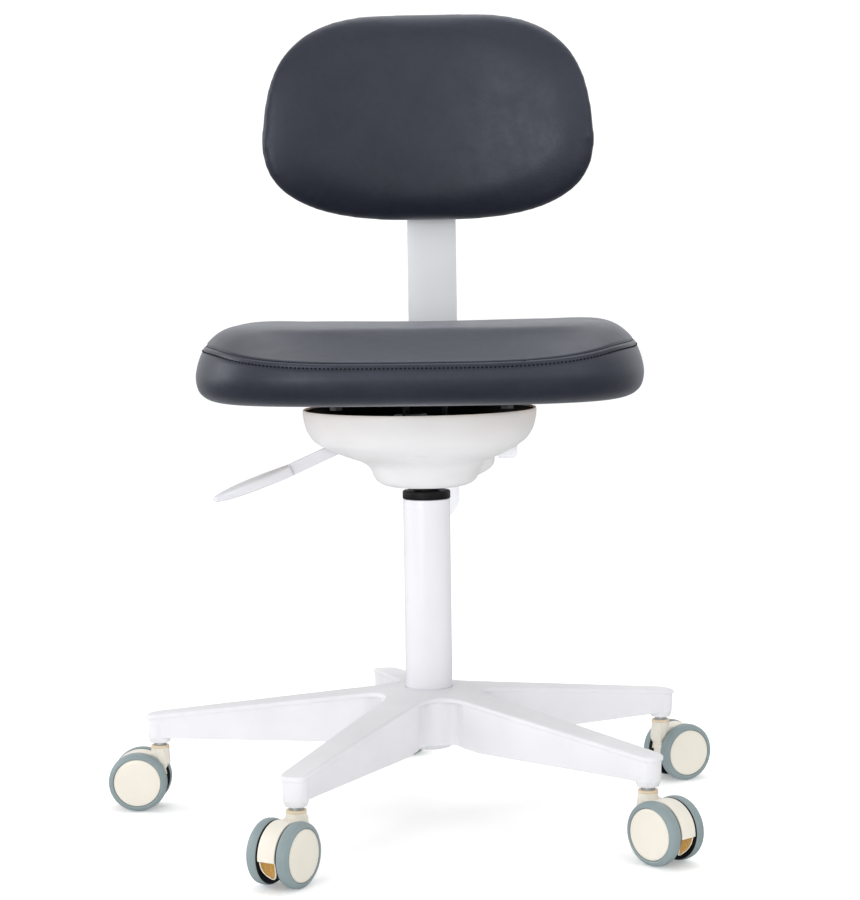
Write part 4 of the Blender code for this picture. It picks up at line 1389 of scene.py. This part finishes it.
def stitches(name, mesh, path, spacing, length, radius, sink):
    """A row of thread stitches laid on mesh along a closed path."""
    surface = surface_of(mesh)
    places = resampled(path, spacing)
    bm = bmesh.new()
    for k, place in enumerate(places):
        after = places[(k + 1) % len(places)]
        along = (after - place).normalized()
        middle, normal, _, _ = surface.find_nearest(place)
        start = surface.find_nearest(middle - along * length / 2)[0]
        end = surface.find_nearest(middle + along * length / 2)[0]
        lift = normal * (radius - sink)
        stitch_into(bm, start + lift, end + lift, radius, normal)
    finish_mesh(name, bm, THREAD, "seat_frame", "grey_vinyl", (), 60)


def press_line(mesh, path, depth, reach):
    """Presses a groove into mesh along a closed path."""
    closed = list(path) + [path[0]]
    segments = list(zip(closed, closed[1:]))
    tree = BVHTree.FromPolygons(
        [p for a, b in segments for p in (a, b, (a + b) / 2)],
        [(3 * i, 3 * i + 1, 3 * i + 2) for i in range(len(segments))],
    )
    normals = [v.normal.copy() for v in mesh.vertices]
    for vertex, normal in zip(mesh.vertices, normals):
        place, _, _, far = tree.find_nearest(vertex.co, reach)
        if place is not None:
            share = 1 - (far / reach) ** 2
            vertex.co -= normal * depth * share * share


def nearest_places(mesh, places):
    surface = surface_of(mesh)
    return [surface.find_nearest(place)[0] for place in places]


def make_seat():
    points, faces, rings = seat_rows()
    points = [AT_COLUMN @ p for p in points]
    loose = {rounded(points[n]) for n in rings["free"]}
    mesh = closed_mesh("seat_pad", points, faces)
    mesh = inflate(mesh, lambda place: rounded(place) in loose, 4.0, 0.0030, 0.045)
    seam = nearest_places(mesh, [points[n] for n in rings["seam"]])
    stitch = nearest_places(mesh, [points[n] for n in rings["stitch"]])
    mesh = smooth_mesh(mesh, 2)
    press_line(mesh, seam, 0.0012, 0.0030)
    press_line(mesh, stitch, 0.0007, 0.0034)
    mesh = shaded(mesh, VINYL, 60)
    pad = add_piece("seat_pad", mesh, "seat_frame", "grey_vinyl", ("seat_cushion",))
    stitches("seat_seam", mesh, seam, 0.0023, 0.0019, 0.00028, 0.00008)
    stitches("seat_stitching", mesh, stitch, 0.0042, 0.0027, 0.00070, 0.00012)


def rounded(place):
    return tuple(round(c, 5) for c in place)


def back_outline(u, v):
    """The backrest's front view: widest below its middle, narrower and higher above."""
    x, y = on_superellipse(u, v, 3.15 if v > 0 else 2.65)
    z = y * (BACK_RISE if v > 0 else BACK_DROP)
    return x * (BACK_HALF_WIDTH - 0.09 * max(z, 0)), z


def back_point(u, v, w, front, rear, grow, power):
    edge = max(abs(u), abs(v))
    longest = max(edge, abs(w))
    fold = longest / (edge**power + abs(w) ** power) ** (1 / power) if longest else 1
    x, z = back_outline(u, v)
    x *= fold * (1 + grow[0] / BACK_HALF_WIDTH)
    z *= fold * (1 + grow[1] / BACK_RISE)
    y = (front + rear) / 2 - (rear - front) / 2 * w * fold
    return Vector((x, y - BACK_CURVE * (x / BACK_HALF_WIDTH) ** 2, z + BACK_MIDDLE_Z))


def back_solid(cuts, deep, front, rear, grow, power):
    """A closed pad bent round the sitter's back, as points and faces."""
    points = []

    def add(u, v, w):
        points.append(AT_COLUMN @ back_point(u, v, w, front, rear, grow, power))
        return len(points) - 1

    _, faces, front_rim = square_grid(cuts, lambda u, v: add(u, v, 1.0))
    _, rear_faces, rear_rim = square_grid(cuts, lambda u, v: add(u, v, -1.0))
    faces += [face[::-1] for face in rear_faces]
    rings = [front_rim]
    for k in range(1, deep):
        w = eased(1 - 2 * k / deep)
        rings.append([add(eased(u), eased(v), w) for u, v in square_path(cuts)])
    rings.append(rear_rim)
    return points, faces + strips(rings)


SHELL_REAR = BAR_Y - BAR_HALF_THICKNESS - GAP
SHELL_FRONT = SHELL_REAR - SHELL_THICKNESS
PAD_REAR = SHELL_FRONT - 0.0015


def in_front_of_shell(place):
    """Whether a point of the back cushion is free to move, clear of the shell behind it."""
    bend = BACK_CURVE * ((place.x - COLUMN.x) / BACK_HALF_WIDTH) ** 2
    return place.y - COLUMN.y + bend < PAD_REAR - 0.0060


def make_backrest():
    points, faces = back_solid(36, 4, SHELL_FRONT, SHELL_REAR, (-0.002, -0.002), 9)
    mesh = shaded(smooth_mesh(closed_mesh("back_shell", points, faces)), BLACK_PLASTIC, 180)
    add_piece("back_shell", mesh, "backrest", "black_plastic", ("backrest_shell",))
    front = PAD_REAR - CUSHION_THICKNESS + 0.003
    points, faces = back_solid(36, 12, front, PAD_REAR, (0.0015, 0.0050), 3.4)
    mesh = closed_mesh("back_pad", points, faces)
    even = {"mode": "VOXEL", "voxel_size": 0.0035}
    mesh = modified(mesh, ("REMESH", even), ("SMOOTH", {"iterations": 16}))
    mesh = shaded(smooth_mesh(inflate(mesh, in_front_of_shell, 3.0, 0.004)), VINYL, 180)
    pad = add_piece("back_pad", mesh, "backrest", "grey_vinyl", ("backrest_cushion",))
    make_bar()
    make_bracket()


def make_bar():
    half = 0.028
    low, high = 0.292, 0.770
    outline = arc((0, low + half), half, 180, 360, 24) + arc((0, high - half), half, 0, 180, 24)
    bm = bmesh.new()
    upright = Matrix.Translation((0, BAR_Y, 0)) @ ALONG_Y
    slab_into(bm, outline, -BAR_HALF_THICKNESS, BAR_HALF_THICKNESS, 0.0009, upright)
    finish_mesh(
        "back_bar", bm, LIGHTENED_WHITE_PAINT, "backrest", "white_paint", ("upright_bar",), 34, AT_COLUMN
    )
    screws = bmesh.new()
    head = rounded_path(
        (
            (0.0, 0.0022), (0.0018, 0.0022), (0.0018, 0.0034, 0.0002), (0.0055, 0.0032, 0.0014),
            (0.0068, 0.0, 0.0004), (0.0, 0.0),
        ),
        closed=False,
    )
    for z in (0.668, 0.700, 0.732):
        place = Matrix.Translation((0, BAR_Y + BAR_HALF_THICKNESS, z)) @ TO_REAR
        lathe_into(screws, head, 32, matrix=place)
    finish_mesh("back_screws", screws, ZINC, "backrest", "zinc_steel", (), 34, AT_COLUMN)


def make_bracket():
    """The sleeve that holds the bar, the strap under the seat and the eye on the tilt pin."""
    bm = bmesh.new()
    half_y = 0.0095
    low, high = 0.386, 0.432
    edge = 0.0009
    outer = rounded_path(box(0.033, half_y, 0.0035), 6)
    slot = rounded_path(box(0.0283, 0.0033, 0.0006), 6)
    rings = []
    for path, inset, z in (
        (outer, edge, low), (outer, 0, low + edge), (outer, 0, high - edge), (outer, edge, high),
        (slot, 0, high), (slot, 0, low),
    ):
        ring = []
        for x, y in path:
            shrink = 1 - inset / Vector((x, y)).length
            ring.append(Vector((x * shrink, BAR_Y + y * shrink, z)))
        rings.append(ring)
    loop_into(bm, rings)
    half_x = 0.0178
    rear = BAR_Y - half_y + 0.001
    strap = [(-half_x, PIVOT.y), (half_x, PIVOT.y), (half_x, rear), (-half_x, rear)]
    slab_into(bm, strap, PIVOT.z - 0.004, PIVOT.z + 0.004, 0.0010)
    eye = (
        (0.0053, -half_x), (0.0105, -half_x), (0.0110, -0.0173), (0.0110, 0.0173),
        (0.0105, half_x), (0.0053, half_x),
    )
    across = Matrix.Translation((0, PIVOT.y, PIVOT.z)) @ ALONG_X
    lathe_into(bm, eye, 48, closed=True, matrix=across)
    nodes = ("back_bracket",)
    finish_mesh(
        "back_bracket_arm", bm, LIGHTENED_WHITE_PAINT, "back_arm", "white_paint", nodes, 34, AT_COLUMN
    )
    make_clamp(BAR_Y + half_y + GAP)


def make_clamp(face_y):
    """The lobed knob on the sleeve's rear face."""
    lobes = 7
    grip_radius = 0.013
    profile = rounded_path(
        (
            (0.0, 0.0205), (0.0150, 0.0205, 0.0030), (0.0180, 0.0165, 0.0030),
            (0.0180, 0.0040, 0.0030), (0.0120, 0.0, 0.0008), (0.0040, 0.0), (0.0040, -0.0060),
            (0.0, -0.0060),
        ),
        5,
        closed=False,
    )
    knob = turned(profile, 112, closed=False)
    for vertex in knob.verts:
        far = math.hypot(vertex.co.x, vertex.co.y)
        if far > grip_radius:
            angle = math.atan2(vertex.co.y, vertex.co.x)
            dip = (0.5 - 0.5 * math.cos(lobes * angle)) ** 1.5
            shrink = 1 - 0.10 * dip * (far - grip_radius) / 0.005
            vertex.co.x *= shrink
            vertex.co.y *= shrink
    place = AT_COLUMN @ Matrix.Translation((0, face_y, 0.410)) @ TO_REAR
    finish_mesh(
        "clamp_handle", knob, BLACK_PLASTIC, "clamp", "black_plastic", ("clamp_knob",), 34, place
    )


# Room, light and camera


def make_room():
    bm = bmesh.new()
    bmesh.ops.create_grid(bm, x_segments=2, y_segments=2, size=30)
    mesh = bpy.data.meshes.new("floor")
    bm.to_mesh(mesh)
    bm.free()
    nodes = Nodes("pale_floor")
    nodes.colour(nodes.noise(2, 2), (0.95, 0.95, 0.95), (0.97, 0.97, 0.97))
    nodes.set(Roughness=0.7, Emission_Color=(1, 1, 1, 1), Emission_Strength=0.24)
    mesh.materials.append(nodes.material)
    floor = add_object("floor", mesh)
    floor.visible_glossy = False
    make_world()


def make_world():
    """A white room, dimmer below so that undersides stay dark, and brighter behind the stool."""
    world = bpy.data.worlds.new("studio")
    world.use_nodes = True
    tree = world.node_tree
    background = tree.nodes["Background"]
    background.inputs["Color"].default_value = (1.0, 1.0, 1.0, 1)
    place = tree.nodes.new("ShaderNodeTexCoord")
    split = tree.nodes.new("ShaderNodeSeparateXYZ")
    tree.links.new(place.outputs["Generated"], split.inputs["Vector"])
    glow = tree.nodes.new("ShaderNodeMath")
    glow.operation = "MULTIPLY"
    upward = map_range(tree, split.outputs["Z"], -0.30, 0.35, 0.20, 0.86)
    rearward = map_range(tree, split.outputs["Y"], 0.0, 0.9, 0.88, 1.18)
    tree.links.new(upward, glow.inputs[0])
    tree.links.new(rearward, glow.inputs[1])
    seen = tree.nodes.new("ShaderNodeLightPath")
    choice = tree.nodes.new("ShaderNodeMix")
    choice.inputs["B"].default_value = 1.1
    tree.links.new(seen.outputs["Is Camera Ray"], choice.inputs["Factor"])
    tree.links.new(glow.outputs["Value"], choice.inputs["A"])
    tree.links.new(choice.outputs["Result"], background.inputs["Strength"])
    bpy.context.scene.world = world


def add_light(name, place, target, size, power):
    light = bpy.data.lights.new(name, "AREA")
    light.shape = "RECTANGLE"
    light.size, light.size_y = size
    light.energy = power
    holder = add_object(name, light)
    holder.location = place
    holder.rotation_euler = (Vector(target) - Vector(place)).to_track_quat("-Z", "Y").to_euler()


def make_lights():
    add_light("window", (-2.7, 0.1, 1.1), (0, 0, 0.5), (1.4, 1.6), 20)
    add_light("front_left", (-1.35, -2.8, 0.75), (0, 0, 0.55), (0.6, 0.8), 16)
    add_light("front", (0.5, -3.4, 1.1), (0, 0, 0.5), (2.0, 1.6), 8.5)
    add_light("fill", (2.2, -2.0, 1.6), (0, 0, 0.5), (1.6, 1.6), 8)
    add_light("top", (0.2, 0.6, 2.8), (0, 0, 0.4), (2.0, 2.0), 20)


def make_camera():
    camera = bpy.data.cameras.new("camera")
    camera.sensor_fit = "AUTO"
    camera.sensor_width = SENSOR_MM
    camera.lens = SENSOR_MM * FOCAL_PIXELS / FRAME_HEIGHT_PIXELS
    camera.clip_end = 50
    holder = add_object("camera", camera)
    ahead = Vector(
        (
            math.sin(CAMERA_YAW) * math.cos(CAMERA_PITCH),
            math.cos(CAMERA_YAW) * math.cos(CAMERA_PITCH),
            -math.sin(CAMERA_PITCH),
        )
    )
    right = Vector((math.cos(CAMERA_YAW), -math.sin(CAMERA_YAW), 0))
    up = right.cross(ahead)
    rolled_right = right * math.cos(CAMERA_ROLL) - up * math.sin(CAMERA_ROLL)
    rolled_up = right * math.sin(CAMERA_ROLL) + up * math.cos(CAMERA_ROLL)
    turn = Matrix((rolled_right, rolled_up, -ahead)).transposed().to_4x4()
    face = AT_COLUMN @ Matrix.Rotation(FACE_TURN, 4, "Z")
    holder.matrix_world = face @ Matrix.Translation((0, -CAMERA_BACK, CAMERA_HEIGHT)) @ turn
    bpy.context.scene.camera = holder


bpy.context.scene.view_settings.view_transform = "Standard"
make_camera()
make_room()
make_lights()
make_base()
make_casters()
make_column()
make_cover()
make_lever()
make_mechanism()
make_seat()
make_backrest()
